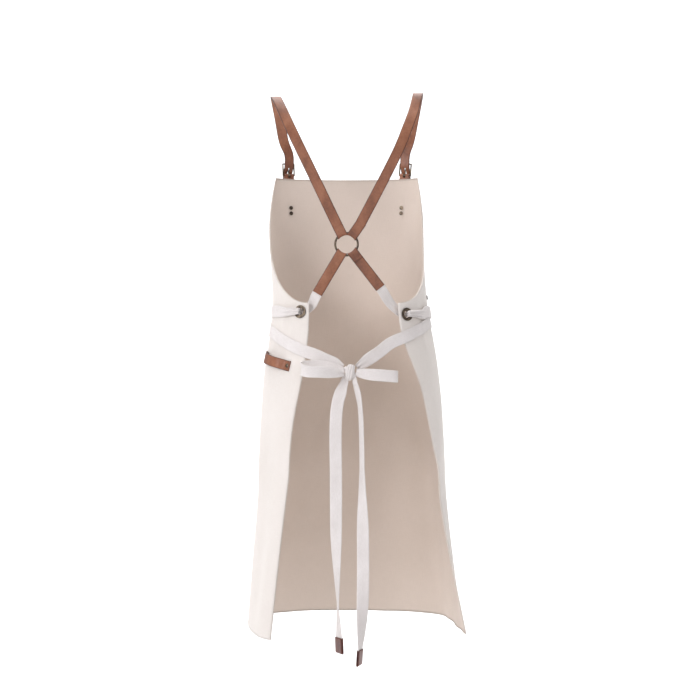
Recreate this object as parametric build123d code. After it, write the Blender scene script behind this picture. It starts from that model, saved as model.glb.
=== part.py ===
"""Cross-back butcher apron: canvas bib and skirt, leather straps on a metal back ring, webbing ties.

Frame, in millimetres: +Z is up, +Y is the wearer's front, +X is the wearer's right. The origin lies
midway between the two places where the shoulder straps rest on the shoulders.
"""
from build123d import *
from collections import namedtuple
import math
import os

# ---- canvas --------------------------------------------------------------------------------------
BIB_TOP = -150.0            # height of the bib's top edge
BIB_SHARE = 0.45            # bib's half width as a share of the half girth
WING_TOP = -405.0           # height of the two back corners
ARMHOLE_POWER = 2.1         # how quickly the armhole edge flattens towards the back
HEM_FRONT = -1036.0         # height of the hem at the front
HEM_DIP = 8.0               # how much lower the back corners of the hem hang
CANVAS_THICKNESS = 1.6
HEM_WIDTH = 12.0            # folded hems, on the body side
HEM_THICKNESS = 1.0
LAYER_GAP = 0.9             # air between two sewn layers
WING_COLUMNS = 7            # facets of each side part and of the bib part
BIB_COLUMNS = 10
PANEL_ROWS = 14
WING_TURN = math.radians(62)  # how far the skirt turns in behind the wearer's side

# ---- pockets and towel loop ----------------------------------------------------------------------
POCKET_TOP = -520.0
POCKET_HEIGHT = 200.0
POCKET_SHARE = 0.40         # waist pocket's half width as a share of the half girth
POCKET_BULGE = 12.0         # how far the mouth stands open
CHEST_POCKET_TOP = -215.0
CHEST_POCKET_HEIGHT = 130.0
CHEST_POCKET_SHARE = 0.17
CHEST_POCKET_BULGE = 8.0
POCKET_THICKNESS = 1.2
TOWEL_LOOP_WIDTH = 20.0
TOWEL_LOOP_BULGE = 10.0
LEATHER = 2.5               # leather thickness
STUD_PLACE = (0.66, -393.0)   # across, height
STUD_RADIUS = 4.5
STUD_HEIGHT = 2.2

# ---- straps, ring and buckles --------------------------------------------------------------------
STRAP_WIDTH = 20.0
RING_CENTRE = Vector(0, -80, -294)
RING_RADIUS = 1.075 * STRAP_WIDTH   # to the middle of the wire; the two sleeves fit side by side
RING_WIRE = 4.0             # wire diameter
RING_CLEARANCE = 0.3
SLEEVE_LEATHER = 1.9        # leather wrapped round the ring, skived thin
STRAP_ANGLES = {"left": 116.0, "right": 55.5}
LOWER_ANGLES = {"left": 239.3, "right": 307.8}
LOWER_LENGTHS = {"left": 109.0, "right": 105.0}   # ring centre to the strip's end
FOLD_BACK_END = 50.0        # ring centre to the end of the folded-back leather
BUCKLE_WIRE = 3.0
BUCKLE_HEIGHT = 23.0        # from bar to bar
BUCKLE_WIDTH = STRAP_WIDTH + 5.0    # between the middles of the side bars
TAB_LENGTH = 75.0           # bib tab below the bib's top edge
TAB_LEATHER = 2.0
STRAP_END = -48.0           # free end of the strap, below the bib's top edge
BUCKLE_SHARE = 0.35         # place of each buckle across the bib
PRONG_WIDTH = 4.5
PRONG_DIAMETER = 2.2
KEEPER_DEPTH = -26.0        # keeper's upper edge below the bib's top edge
KEEPER_WIDTH = 10.0
KEEPER_LEATHER = 1.5
KEEPER_ROOM = 0.6           # clearance round the strap
RIVET_CAP = 9.0             # diameters
RIVET_SHANK = 3.0
RIVET_HOLE = 3.6
RIVET_DEPTHS = (-58.0, -69.0)

# ---- ties ----------------------------------------------------------------------------------------
WEB_WIDTH = 23.0
WEB_THICKNESS = 1.6
EYELET_OUTER = 25.0         # flange diameter
EYELET_INNER = 15.0
EYELET_BARREL = 17.0
EYELET_HEIGHTS = {"left": -423.0, "right": -428.0}
EYELET_INSET = 18.0         # from the free edge to the eyelet's middle
FLANGE = 1.4
EYELET_GAP = 1.2            # room for the canvas to curve under the flat flange and washer
TIE_OFFSETS = {"left": 3.3, "right": 6.6}         # how far each tie lies off the canvas
KNOT_CENTRE = Vector(6.6, -110, -537)
KNOT_SIZE = (22.0, 20.0, 24.0)
TIP_SIZE = (25.0, 5.0, 30.0)
TIP_TURNS = {"left": 62.0, "right": -72.0}        # degrees that the webbing has twisted at each tip

Station = namedtuple("Station", "height left right front side square left_edge right_edge")
STATIONS = [   # girth of the worn canvas, from the chest to the hem
    Station(-150, 165, 165, 118, 20, 2.4, (-110, -80), (110, -80)),
    Station(-300, 150, 150, 126, 24, 2.3, (-74, -66), (98, -64)),
    Station(-420, 143, 159, 130, 28, 2.2, (-71, -68), (97, -66)),
    Station(-480, 153, 172, 138, 30, 2.2, (-73, -80), (106, -74)),
    Station(-545, 164, 182, 148, 32, 2.3, (-83, -88), (139, -62)),
    Station(-615, 166, 188, 155, 35, 2.4, (-100, -92), (156, -50)),
    Station(-705, 175, 197, 165, 40, 2.5, (-111, -92), (175, -38)),
    Station(-825, 184, 205, 180, 48, 2.7, (-125, -90), (198, -24)),
    Station(-1060, 204, 226, 204, 62, 3.0, (-151, -84), (245, -20)),
]
Z = Vector(0, 0, 1)


# ---- the worn shape of the canvas ----------------------------------------------------------------
def mix(low, high, share):
    return low + (high - low) * share


def station_at(height):
    """The girth at a height, between the two nearest stations."""
    for upper, lower in zip(STATIONS, STATIONS[1:]):
        if height >= lower.height:
            break
    share = (height - upper.height) / (lower.height - upper.height)
    numbers = [mix(a, b, share) for a, b in zip(upper[1:6], lower[1:6])]
    edges = [tuple(mix(a, b, share) for a, b in zip(upper[k], lower[k])) for k in (6, 7)]
    return Station(height, *numbers, *edges)


def half_girth(height, side):
    """Points from the front middle, round one side (-1 left, +1 right), to the free back edge."""
    girth = station_at(height)
    half_width = girth.left if side < 0 else girth.right
    edge = girth.left_edge if side < 0 else girth.right_edge
    points = []
    for step in range(41):
        turn = math.radians(90 * step / 40)
        x = half_width * math.sin(turn) ** (2 / girth.square)
        y = girth.side + (girth.front - girth.side) * max(math.cos(turn), 0) ** (2 / girth.square)
        points.append(Vector(side * x, y, height))
    for step in range(1, 25):
        turn = WING_TURN * step / 24
        inward = (1 - math.cos(turn)) / (1 - math.cos(WING_TURN))
        back = math.sin(turn) / math.sin(WING_TURN)
        points.append(Vector(side * mix(half_width, abs(edge[0]), inward), mix(girth.side, edge[1], back), height))
    return points


def along(points, share):
    """The point at a share of a polyline's length."""
    lengths = [(b - a).length for a, b in zip(points, points[1:])]
    left = share * sum(lengths)
    for start, end, length in zip(points, points[1:], lengths):
        if left <= length:
            return start + (end - start) * (left / length)
        left -= length
    return points[-1]


def top_height(across):
    """Height of the canvas edge: flat along the bib, then down the armhole. across runs from -1 to +1."""
    share = max(0.0, (abs(across) - BIB_SHARE) / (1 - BIB_SHARE))
    return mix(WING_TOP, BIB_TOP, (1 - share) ** ARMHOLE_POWER)


def hem_height(across):
    return HEM_FRONT - HEM_DIP * across * across


def side_columns():
    return [BIB_SHARE + (1 - BIB_SHARE) * k / WING_COLUMNS for k in range(1, WING_COLUMNS + 1)]


BIB = [mix(-BIB_SHARE, BIB_SHARE, k / BIB_COLUMNS) for k in range(BIB_COLUMNS + 1)]
COLUMNS = [-c for c in reversed(side_columns())] + BIB + side_columns()
ROWS = [k / PANEL_ROWS for k in range(PANEL_ROWS + 1)]


def panel_node(across, down):
    height = mix(top_height(across), hem_height(across), down)
    return along(half_girth(height, -1 if across < 0 else 1), abs(across))


GRID = [[panel_node(column, row) for row in ROWS] for column in COLUMNS]


def grid_normal(i, j):
    """Outward direction at a node of the panel."""
    sideways = GRID[min(i + 1, len(COLUMNS) - 1)][j] - GRID[max(i - 1, 0)][j]
    downwards = GRID[i][min(j + 1, len(ROWS) - 1)] - GRID[i][max(j - 1, 0)]
    return downwards.cross(sideways).normalized() * -1


NORMALS = [[grid_normal(i, j) for j in range(len(ROWS))] for i in range(len(COLUMNS))]


def bracket(values, value):
    """The interval of an ascending list that holds a value, and the share along it."""
    index = 0
    while index < len(values) - 2 and value > values[index + 1]:
        index += 1
    return index, (value - values[index]) / (values[index + 1] - values[index])


def blend(table, i, j, u, v):
    return mix(mix(table[i][j], table[i][j + 1], v), mix(table[i + 1][j], table[i + 1][j + 1], v), u)


def canvas_normal(across, down):
    i, u = bracket(COLUMNS, across)
    j, v = bracket(ROWS, down)
    return blend(NORMALS, i, j, u, v)


def on_canvas(across, down, offset=0.0):
    """A point of the panel's middle surface, moved outwards by offset."""
    i, u = bracket(COLUMNS, across)
    j, v = bracket(ROWS, down)
    return blend(GRID, i, j, u, v) + canvas_normal(across, down) * offset


def down_at(across, height):
    """Share of the way from the canvas edge to the hem at a height."""
    return (top_height(across) - height) / (top_height(across) - hem_height(across))


def girth_of(height, side):
    points = half_girth(height, side)
    return sum((b - a).length for a, b in zip(points, points[1:]))


# ---- building blocks -----------------------------------------------------------------------------
def closed_solid(outer, inner):
    """A closed faceted solid between two grids of points that match node for node."""
    faces = []

    def quad(a, b, c, d):
        """Two triangles that share the quad's shorter diagonal."""
        split = ((a, b, c), (a, c, d)) if (a - c).length < (b - d).length else ((a, b, d), (b, c, d))
        for triangle in split:
            faces.append(Face(Wire.make_polygon(triangle, close=True)))

    across = len(outer) - 1
    down = len(outer[0]) - 1
    for i in range(across):
        for j in range(down):
            quad(outer[i][j], outer[i + 1][j], outer[i + 1][j + 1], outer[i][j + 1])
            quad(inner[i][j], inner[i][j + 1], inner[i + 1][j + 1], inner[i + 1][j])
    for i in range(across):
        quad(outer[i][0], inner[i][0], inner[i + 1][0], outer[i + 1][0])
        quad(outer[i][down], outer[i + 1][down], inner[i + 1][down], inner[i][down])
    for j in range(down):
        quad(outer[0][j], outer[0][j + 1], inner[0][j + 1], inner[0][j])
        quad(outer[across][j], inner[across][j], inner[across][j + 1], outer[across][j + 1])
    solid = Solid(Shell(faces))
    return solid if solid.volume > 0 else -solid


def between(low, high, breaks):
    return [low] + [b for b in breaks if low + 1e-4 < b < high - 1e-4] + [high]


def patch(left, right, upper, lower, inside, thickness, bulge=0.0):
    """A layer on the canvas between two columns; upper and lower give its edges' share down for each column."""
    outer_grid = []
    inner_grid = []
    rows = between(upper(mix(left, right, 0.5)), lower(mix(left, right, 0.5)), ROWS)
    for column in between(left, right, COLUMNS):
        top = upper(column)
        bottom = lower(column)
        outer_line = []
        inner_line = []
        for row in rows:
            share = (row - rows[0]) / (rows[-1] - rows[0])
            down = mix(top, bottom, share)
            middle = 1 - (2 * (column - left) / (right - left) - 1) ** 2
            lift = inside + bulge * middle * (1 - share) ** 0.7
            inner_line.append(on_canvas(column, down, lift))
            outer_line.append(on_canvas(column, down, lift + thickness))
        outer_grid.append(outer_line)
        inner_grid.append(inner_line)
    return closed_solid(outer_grid, inner_grid)


def band(points, across, widths, thicknesses):
    """A ribbon of rectangular sections along points; across holds each section's width direction."""
    outer = []
    inner = []
    last = len(points) - 1
    for k, point in enumerate(points):
        tangent = (points[min(k + 1, last)] - points[max(k - 1, 0)]).normalized()
        facing = tangent.cross(across[k]).normalized()
        sideways = facing.cross(tangent).normalized() * (widths[k] / 2)
        half = facing * (thicknesses[k] / 2)
        outer.append([point + sideways + half, point - sideways + half])
        inner.append([point + sideways - half, point - sideways - half])
    return closed_solid(outer, inner)


def even_band(points, across, width, thickness):
    return band(points, across, [width] * len(points), [thickness] * len(points))


def tube(radius, start, end):
    """A round bar between two points."""
    run = end - start
    return Plane(start, z_dir=run) * Cylinder(radius, run.length, align=(Align.CENTER, Align.CENTER, Align.MIN))


# ---- canvas pieces -------------------------------------------------------------------------------
def eyelet_across(side):
    """Place of an eyelet: EYELET_INSET from the free edge."""
    sign = -1 if side == "left" else 1
    return sign * (1 - EYELET_INSET / girth_of(EYELET_HEIGHTS[side], sign))


def eyelet_plane(side):
    across = eyelet_across(side)
    down = down_at(across, EYELET_HEIGHTS[side])
    return Plane(on_canvas(across, down), z_dir=canvas_normal(across, down))


def bib_plane(side):
    """Local frame of a bib corner: x across, y up along the canvas, z away from the wearer."""
    across = BUCKLE_SHARE * (-1 if side == "left" else 1)
    top = on_canvas(across, 0)
    up = (top - on_canvas(across, down_at(across, BIB_TOP - TAB_LENGTH))).normalized()
    out = canvas_normal(across, down_at(across, BIB_TOP - TAB_LENGTH / 2))
    return Plane(top, x_dir=up.cross(out), z_dir=out)


def plate(width, low, high, near, far):
    """A box in a bib corner's local frame: low to high upwards, near to far outwards."""
    return Pos(0, (low + high) / 2, (near + far) / 2) * Box(width, high - low, far - near)


def rivet_holes(side):
    plane = bib_plane(side)
    return [plane * Pos(0, depth, 0) * Cylinder(RIVET_HOLE / 2, 30) for depth in RIVET_DEPTHS]


def canvas_panel():
    skin = CANVAS_THICKNESS / 2
    outer = [[GRID[i][j] + NORMALS[i][j] * skin for j in range(len(ROWS))] for i in range(len(COLUMNS))]
    inner = [[GRID[i][j] - NORMALS[i][j] * skin for j in range(len(ROWS))] for i in range(len(COLUMNS))]
    panel = closed_solid(outer, inner)
    for side in ("left", "right"):
        panel -= eyelet_plane(side) * Cylinder(EYELET_BARREL / 2 + 0.2, 20)
        for hole in rivet_holes(side):
            panel -= hole
    return panel


def edge_down(across, distance):
    """Share down of a line that runs at a distance below the canvas edge."""
    return distance / (top_height(across) - hem_height(across))


def hems():
    """Folded hems on the body side, each a strip of its own."""
    inside = -CANVAS_THICKNESS / 2 - LAYER_GAP - HEM_THICKNESS
    half_girth_at_waist = girth_of(WING_TOP, 1)
    edge = HEM_WIDTH / half_girth_at_waist
    foot = 1 - HEM_WIDTH / (WING_TOP - HEM_FRONT)
    gap = LAYER_GAP / half_girth_at_waist

    def strip(left, right, upper, lower):
        return patch(left, right, upper, lower, inside, HEM_THICKNESS)

    def top(across):
        return edge_down(across, 0.0)

    def below_top(across):
        return edge_down(across, HEM_WIDTH)

    def below_wing_hem(across):
        return edge_down(across, HEM_WIDTH + LAYER_GAP)

    pieces = {
        "bottom_hem": strip(-1, 1, lambda a: foot, lambda a: 1.0),
        "bib_top_hem": strip(-BIB_SHARE + edge, BIB_SHARE - edge, top, below_top),
    }
    for side, sign in (("left", -1), ("right", 1)):
        inner, outer = sorted((sign * (1 - edge), sign * 1.0))
        pieces[side + "_back_hem"] = strip(inner, outer, below_wing_hem, lambda a: foot - gap)
        inner, outer = sorted((sign * (BIB_SHARE + gap), sign * 1.0))
        pieces[side + "_armhole_hem"] = strip(inner, outer, top, below_top)
        seat = eyelet_plane(side) * Cylinder(EYELET_OUTER / 2 + LAYER_GAP, 20)
        for name in ("_back_hem", "_armhole_hem"):
            pieces[side + name] -= seat
    return pieces


def pocket(share, top, height, bulge):
    """A patch pocket whose mouth stands open."""
    near = CANVAS_THICKNESS / 2 + LAYER_GAP
    return patch(-share, share, lambda a: down_at(a, top), lambda a: down_at(a, top - height),
                 near, POCKET_THICKNESS, bulge)


# ---- metal ring and the leather that wraps it ----------------------------------------------------
def ring_point(angle, radius, outwards=0.0):
    turn = math.radians(angle)
    return RING_CENTRE + Vector(radius * math.cos(turn), outwards, radius * math.sin(turn))


def back_ring():
    return Plane(RING_CENTRE, z_dir=Vector(0, 1, 0)) * Torus(RING_RADIUS, RING_WIRE / 2)


def ring_sleeve(angle):
    """Leather turned round the ring's wire: a part of a hollow torus, and the doubled end sewn behind it."""
    half_turn = math.degrees(math.asin(STRAP_WIDTH / 2 / RING_RADIUS))
    bore = RING_WIRE / 2 + RING_CLEARANCE
    wall = bore + SLEEVE_LEATHER
    profile = Plane.XZ * Pos(RING_RADIUS, 0) * (Circle(wall) - Circle(bore))
    wrap = revolve(profile, Axis.Z, 2 * half_turn)
    ring_face = Plane(RING_CENTRE, x_dir=Vector(1, 0, 0), z_dir=Vector(0, -1, 0))
    turned = ring_face * Rot(0, 0, angle - half_turn) * wrap
    start = RING_RADIUS + bore + SLEEVE_LEATHER / 2
    ends = [ring_point(angle, start), ring_point(angle, FOLD_BACK_END)]
    across = [Vector(0, 1, 0).cross(ends[1] - ends[0])] * 2
    doubled = even_band(ends, across, STRAP_WIDTH, 2 * LEATHER)
    clear = Plane(RING_CENTRE, z_dir=Vector(0, 1, 0)) * Torus(RING_RADIUS, bore)
    return (turned + doubled) - clear


def outward(point):
    """Away from the wearer: level on the back and chest, turning upwards over the shoulder."""
    return Vector(0, point.Y - 15, max(0.0, point.Z + 90)).normalized()


BACK_ROUTES = {   # middle of each shoulder strap, from the ring up the back and over the shoulder
    "left": [(-41, -80, -210), (-64, -77, -161), (-87.5, -66, -112), (-108, -50, -68), (-126, -28, -27),
             (-138, -4, -2), (-139, 24, -5), (-134, 56, -33), (-127, 86, -74)],
    "right": [(50, -80, -210), (70, -77, -172), (99, -65, -113), (115, -50, -73), (130, -28, -31),
              (139, -4, 4), (140, 24, 0), (135, 56, -30), (127, 86, -72)],
}
BUCKLE_ROUTE = [(50, 2.0), (27, 2.0), (20, 5.5), (9, 10.8), (-4, 9.6), (-18, 7.2), (STRAP_END, 7.2)]


def shoulder_strap(side):
    """Leather strap from the ring, over the shoulder, through the buckle, to its free end."""
    plane = bib_plane(side)
    angle = STRAP_ANGLES[side]
    points = [ring_point(angle, FOLD_BACK_END - 2)] + [Vector(*p) for p in BACK_ROUTES[side]]
    points += [plane.from_local_coords(Vector(0, up, out)) for up, out in BUCKLE_ROUTE]
    last = len(points) - 1
    across = []
    for k, point in enumerate(points):
        run = points[min(k + 1, last)] - points[max(k - 1, 0)]
        facing = outward(point) if k < last - len(BUCKLE_ROUTE) + 1 else plane.z_dir
        across.append(facing.cross(run).normalized())
    hand = 1 if across[-len(BUCKLE_ROUTE) - 1].dot(plane.x_dir) > 0 else -1
    across[-len(BUCKLE_ROUTE):] = [plane.x_dir * hand] * len(BUCKLE_ROUTE)
    strap = even_band(points, across, STRAP_WIDTH, LEATHER) + ring_sleeve(angle)
    slot = plane * plate(PRONG_DIAMETER + 1.4, 3.0, 23.5, -5, 20)
    return strap - slot


def lower_strap(side):
    """Short leather strip from the ring down towards the waist."""
    angle = LOWER_ANGLES[side]
    ends = [ring_point(angle, FOLD_BACK_END - 2), ring_point(angle, LOWER_LENGTHS[side])]
    across = [Vector(0, 1, 0).cross(ends[1] - ends[0])] * 2
    return even_band(ends, across, STRAP_WIDTH, LEATHER) + ring_sleeve(angle)


# ---- bib corners: tab, buckle, prong, keeper, rivets ---------------------------------------------
BAR_HEIGHT = 8.0            # the buckle's lower bar above the bib's top edge
BAR_OUT = 5.2               # and away from the canvas
TAB_NEAR = 1.3
BAR_BORE = BUCKLE_WIRE / 2 + 0.4
SLEEVE_BORE = BUCKLE_WIRE / 2 + 0.3


def bar_along_x(radius, length, height, out):
    return Pos(0, height, out) * Rot(0, 90, 0) * Cylinder(radius, length)


def bib_tab(side):
    """Folded leather tab that holds the buckle's lower bar."""
    body = plate(STRAP_WIDTH, -TAB_LENGTH, BAR_HEIGHT - 2, TAB_NEAR, TAB_NEAR + 2 * TAB_LEATHER)
    body += bar_along_x(BAR_BORE + TAB_LEATHER, STRAP_WIDTH, BAR_HEIGHT, BAR_OUT)
    body -= bar_along_x(BAR_BORE, STRAP_WIDTH + 2, BAR_HEIGHT, BAR_OUT)
    body -= plate(PRONG_WIDTH + 1.2, BAR_HEIGHT - 5, BAR_HEIGHT + 8, -2, 16)
    placed = bib_plane(side) * body
    for hole in rivet_holes(side):
        placed -= hole
    return placed


def buckle_frame(side):
    """Rectangular wire frame."""
    radius = BUCKLE_WIRE / 2
    half = BUCKLE_WIDTH / 2
    top = BAR_HEIGHT + BUCKLE_HEIGHT
    frame = bar_along_x(radius, BUCKLE_WIDTH, BAR_HEIGHT, BAR_OUT)
    frame += bar_along_x(radius, BUCKLE_WIDTH, top, BAR_OUT)
    for x in (-half, half):
        frame += Pos(x, (BAR_HEIGHT + top) / 2, BAR_OUT) * Rot(90, 0, 0) * Cylinder(radius, BUCKLE_HEIGHT)
        for y in (BAR_HEIGHT, top):
            frame += Pos(x, y, BAR_OUT) * Sphere(radius)
    return bib_plane(side) * frame


def buckle_prong(side):
    """Prong that turns on the lower bar and rests on the upper bar."""
    top = BAR_HEIGHT + BUCKLE_HEIGHT
    rest_out = BAR_OUT + BUCKLE_WIRE / 2 + RING_CLEARANCE + PRONG_DIAMETER / 2
    eye = bar_along_x(SLEEVE_BORE + 1.4, PRONG_WIDTH, BAR_HEIGHT, BAR_OUT)
    root = Vector(0, BAR_HEIGHT + 2.4, BAR_OUT + 1.2)
    arm = tube(PRONG_DIAMETER / 2, root, Vector(0, top + 2.5, rest_out))
    prong = (eye + arm) - bar_along_x(SLEEVE_BORE, PRONG_WIDTH + 2, BAR_HEIGHT, BAR_OUT)
    return bib_plane(side) * prong


def keeper(side):
    """Leather bridge that holds the strap's free end against the tab."""
    inner = STRAP_WIDTH / 2 + KEEPER_ROOM
    low = KEEPER_DEPTH - KEEPER_WIDTH
    far = TAB_NEAR + 2 * TAB_LEATHER + LEATHER + KEEPER_ROOM * 2
    bridge = plate(2 * (inner + KEEPER_LEATHER), low, KEEPER_DEPTH, TAB_NEAR, far + KEEPER_LEATHER)
    bridge -= plate(2 * inner, low - 1, KEEPER_DEPTH + 1, 0, far)
    return bib_plane(side) * bridge


def bib_rivets():
    """Cap, shank and washer of each bib tab's rivets."""
    solids = []
    top = TAB_NEAR + 2 * TAB_LEATHER + 0.1
    for side in ("left", "right"):
        for depth in RIVET_DEPTHS:
            cap = Pos(0, depth, top + 0.7) * Cylinder(RIVET_CAP / 2, 1.4)
            shank = Pos(0, depth, (top - 1.5) / 2) * Cylinder(RIVET_SHANK / 2, top + 1.5)
            washer = Pos(0, depth, -1.6) * Cylinder(RIVET_CAP / 2 - 0.5, 0.8)
            solids.append(bib_plane(side) * (cap + shank + washer))
    return Compound(children=solids)


# ---- eyelets -------------------------------------------------------------------------------------
def eyelet(side):
    """Flange on the outside and the barrel through the canvas."""
    near = CANVAS_THICKNESS / 2 + EYELET_GAP
    flange = Pos(0, 0, near + FLANGE / 2) * Cylinder(EYELET_OUTER / 2, FLANGE)
    barrel = Pos(0, 0, -1.0) * Cylinder(EYELET_BARREL / 2 - 0.1, 2 * (near + 1.0))
    return eyelet_plane(side) * (flange + barrel - Cylinder(EYELET_INNER / 2, 30))


def eyelet_washer(side):
    """Flat washer on the body side."""
    near = CANVAS_THICKNESS / 2 + EYELET_GAP
    ring = Cylinder(EYELET_OUTER / 2 - 1, 0.8) - Cylinder(EYELET_BARREL / 2 + 0.1, 4)
    return eyelet_plane(side) * Pos(0, 0, -near - 0.4) * ring


# ---- ties ----------------------------------------------------------------------------------------
TIE_HEIGHTS = {   # height of each tie at places across the panel, from its own eyelet round to the other side
    "left": [(-0.86, -421), (-0.6, -419), (-0.3, -425), (0.0, -431), (0.3, -434), (0.6, -434), (0.76, -444),
             (0.88, -457), (0.985, -470)],
    "right": [(0.86, -421), (0.6, -422), (0.3, -428), (0.0, -437), (-0.3, -444), (-0.6, -452), (-0.76, -466),
              (-0.88, -483), (-0.985, -497)],
}
TIE_ENDS = {   # free stretch from the canvas to the knot
    "left": [(84, -85, -482), (62, -93, -499), (40, -98, -514), (20.5, -101, -529)],
    "right": [(-60, -94, -504), (-40, -98, -513), (-22, -99.5, -521), (-7.5, -101, -529)],
}


EYELET_PASS = ((-11, 15, 2.6), (-4, 10, 4.0), (6, 10, 4.0))   # out, width and thickness of the bunched webbing


def upwards(direction):
    return direction if direction.Z > 0 else -direction


def tie_height(side, across):
    rule = sorted(TIE_HEIGHTS[side])
    index, share = bracket([place for place, height in rule], across)
    return mix(rule[index][1], rule[index + 1][1], share)


def waist_tie(side):
    """Webbing from the lower strap through the eyelet, round the front, to the knot."""
    sign = -1 if side == "left" else 1
    angle = LOWER_ANGLES[side]
    length = LOWER_LENGTHS[side]
    plane = eyelet_plane(side)
    start = ring_point(angle, length - 18, LEATHER / 2 + WEB_THICKNESS / 2 + 0.4)
    end = ring_point(angle, length + 4, LEATHER / 2 + WEB_THICKNESS / 2 + 2.0)
    strip_across = upwards(Vector(0, 1, 0).cross(end - start).normalized())
    middle = mix(end, plane.origin - plane.z_dir * 24, 0.5)
    points = [start, end, middle]
    across = [strip_across, strip_across, mix(strip_across, Z, 0.5)]
    widths = [WEB_WIDTH - 3, WEB_WIDTH - 3, WEB_WIDTH - 5]
    thicknesses = [WEB_THICKNESS] * 3
    for out, width, thickness in EYELET_PASS:
        points.append(plane.origin + plane.z_dir * out)
        across.append(Z)
        widths.append(width)
        thicknesses.append(thickness)
    eyelet_place = abs(eyelet_across(side))
    offset = TIE_OFFSETS[side]
    columns = [c for c in COLUMNS if -0.985 < c * sign < eyelet_place - 0.13] + [-0.985 * sign]
    columns = sorted(columns, reverse=sign > 0)
    first = sign * (eyelet_place - 0.07)
    places = [(first, EYELET_HEIGHTS[side] + 1, offset + 6, 17)]
    places += [(c, tie_height(side, c), offset, WEB_WIDTH) for c in columns]
    for place, height, out, width in places:
        down = down_at(place, height)
        points.append(on_canvas(place, down, out))
        across.append(canvas_normal(place, down))
        widths.append(width)
        thicknesses.append(WEB_THICKNESS)
    points += [Vector(*p) for p in TIE_ENDS[side]]
    extra = len(points) - len(across)
    across += [across[-1]] + [Vector(0, -1, 0)] * (extra - 1)
    widths += [WEB_WIDTH] * (extra - 1) + [WEB_WIDTH - 5]
    thicknesses += [WEB_THICKNESS] * extra
    first_facing = 3 + len(EYELET_PASS)
    for k in range(first_facing, len(points)):
        run = points[min(k + 1, len(points) - 1)] - points[k - 1]
        across[k] = upwards(across[k].cross(run).normalized())
    return band(points, across, widths, thicknesses)


BOW_ROUTES = {   # middle of each bow loop, out from the knot and back
    "left": [(-6.5, -117, -534), (-25, -125, -529), (-52, -130, -525), (-74, -127, -525), (-83, -118, -527),
             (-74, -110, -529), (-50, -107, -531), (-25, -108, -533), (-6.5, -110, -535)],
    "right": [(19.7, -117, -536), (36, -125, -540), (62, -129, -543), (88, -125, -545), (98, -117, -546),
              (88, -110, -546), (62, -107, -544), (36, -108, -541), (19.7, -110, -538)],
}


def bow_loop(side):
    """One loop of the bow, standing on edge."""
    points = [Vector(*p) for p in BOW_ROUTES[side]]
    return even_band(points, [Z] * len(points), WEB_WIDTH - 1, WEB_THICKNESS)


def bow_knot():
    """The tied middle of the bow."""
    return Pos(KNOT_CENTRE) * fillet(Box(*KNOT_SIZE).edges(), 5)


TAIL_ROUTES = {   # middle of each hanging tail, from the knot down to its leather tip
    "left": [(-4, -105, -556), (-12, -107, -576), (-19, -110, -604), (-21, -112, -654), (-19.5, -112.5, -744),
             (-20, -112, -874), (-14, -112, -1036)],
    "right": [(16, -115, -556), (22, -120, -577), (26.5, -124, -607), (28.5, -126, -660), (29.5, -126.5, -755),
              (31.5, -126, -885), (30.5, -126, -985), (25.5, -126, -1056)],
}


def route_radii(points):
    """Each corner's arc, as large as its two runs allow."""
    radii = []
    for before, corner, after in zip(points, points[1:], points[2:]):
        turn = math.radians((corner - before).get_angle(after - corner))
        radii.append(0.45 * min((corner - before).length, (after - corner).length) / math.tan(turn / 2))
    return radii


def tie_tail(side):
    """Free end of a tie: flat webbing swept along straight runs and tangent arcs."""
    points = [Vector(*p) for p in TAIL_ROUTES[side]]
    radii = route_radii(points)
    path = FilletPolyline(*points, radius=radii)
    start = Plane(points[0], x_dir=Vector(0, 1, 0).cross(points[1] - points[0]), z_dir=points[1] - points[0])
    tail = sweep(start * Rectangle(WEB_WIDTH, WEB_THICKNESS), path=path)
    expected = path.length * WEB_WIDTH * WEB_THICKNESS
    print(side, "tail length", round(path.length, 1), "radii", [round(r) for r in radii],
          "volume share", round(tail.volume / expected, 4))
    return tail


def tie_tip(side):
    """Leather folded over the end of a tail."""
    end, before = (Vector(*p) for p in reversed(TAIL_ROUTES[side][-2:]))
    run = (end - before).normalized()
    plane = Plane(end + run * (TIP_SIZE[2] / 2 + 0.05), x_dir=Vector(0, 1, 0).cross(run), z_dir=run)
    return plane * Rot(0, 0, TIP_TURNS[side]) * Box(*TIP_SIZE)


# ---- towel loop and side stud --------------------------------------------------------------------
TOWEL_PLACES = [   # across, height, share of the bulge
    (-0.915, -526, 0.0), (-0.885, -524, 0.0), (-0.85, -521, 0.7), (-0.81, -518, 1.0), (-0.76, -514, 1.0),
    (-0.72, -511, 0.7), (-0.68, -508, 0.0), (-0.65, -506, 0.0),
]
TOWEL_SEAT = CANVAS_THICKNESS / 2 + 2.0 + LEATHER / 2


def towel_loop():
    """Leather strap sewn down at both ends, standing off the canvas between them."""
    points = []
    for across, height, share in TOWEL_PLACES:
        points.append(on_canvas(across, down_at(across, height), TOWEL_SEAT + TOWEL_LOOP_BULGE * share))
    last = len(points) - 1
    runs = [points[min(k + 1, last)] - points[max(k - 1, 0)] for k in range(last + 1)]
    facings = [canvas_normal(across, down_at(across, height)) for across, height, share in TOWEL_PLACES]
    upright = [upwards(facing.cross(run).normalized()) for facing, run in zip(facings, runs)]
    return even_band(points, upright, TOWEL_LOOP_WIDTH, LEATHER)


def towel_loop_rivets():
    """A rivet cap at each end of the towel loop."""
    caps = []
    for (a, z, _), (b, w, _) in (TOWEL_PLACES[:2], TOWEL_PLACES[-2:]):
        across = (a + b) / 2
        down = down_at(across, (z + w) / 2)
        normal = canvas_normal(across, down)
        seat = on_canvas(across, down, TOWEL_SEAT + LEATHER / 2 + 1.8)
        caps.append(Plane(seat, z_dir=normal) * Cylinder(4, 1.4))
    return Compound(children=caps)


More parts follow.
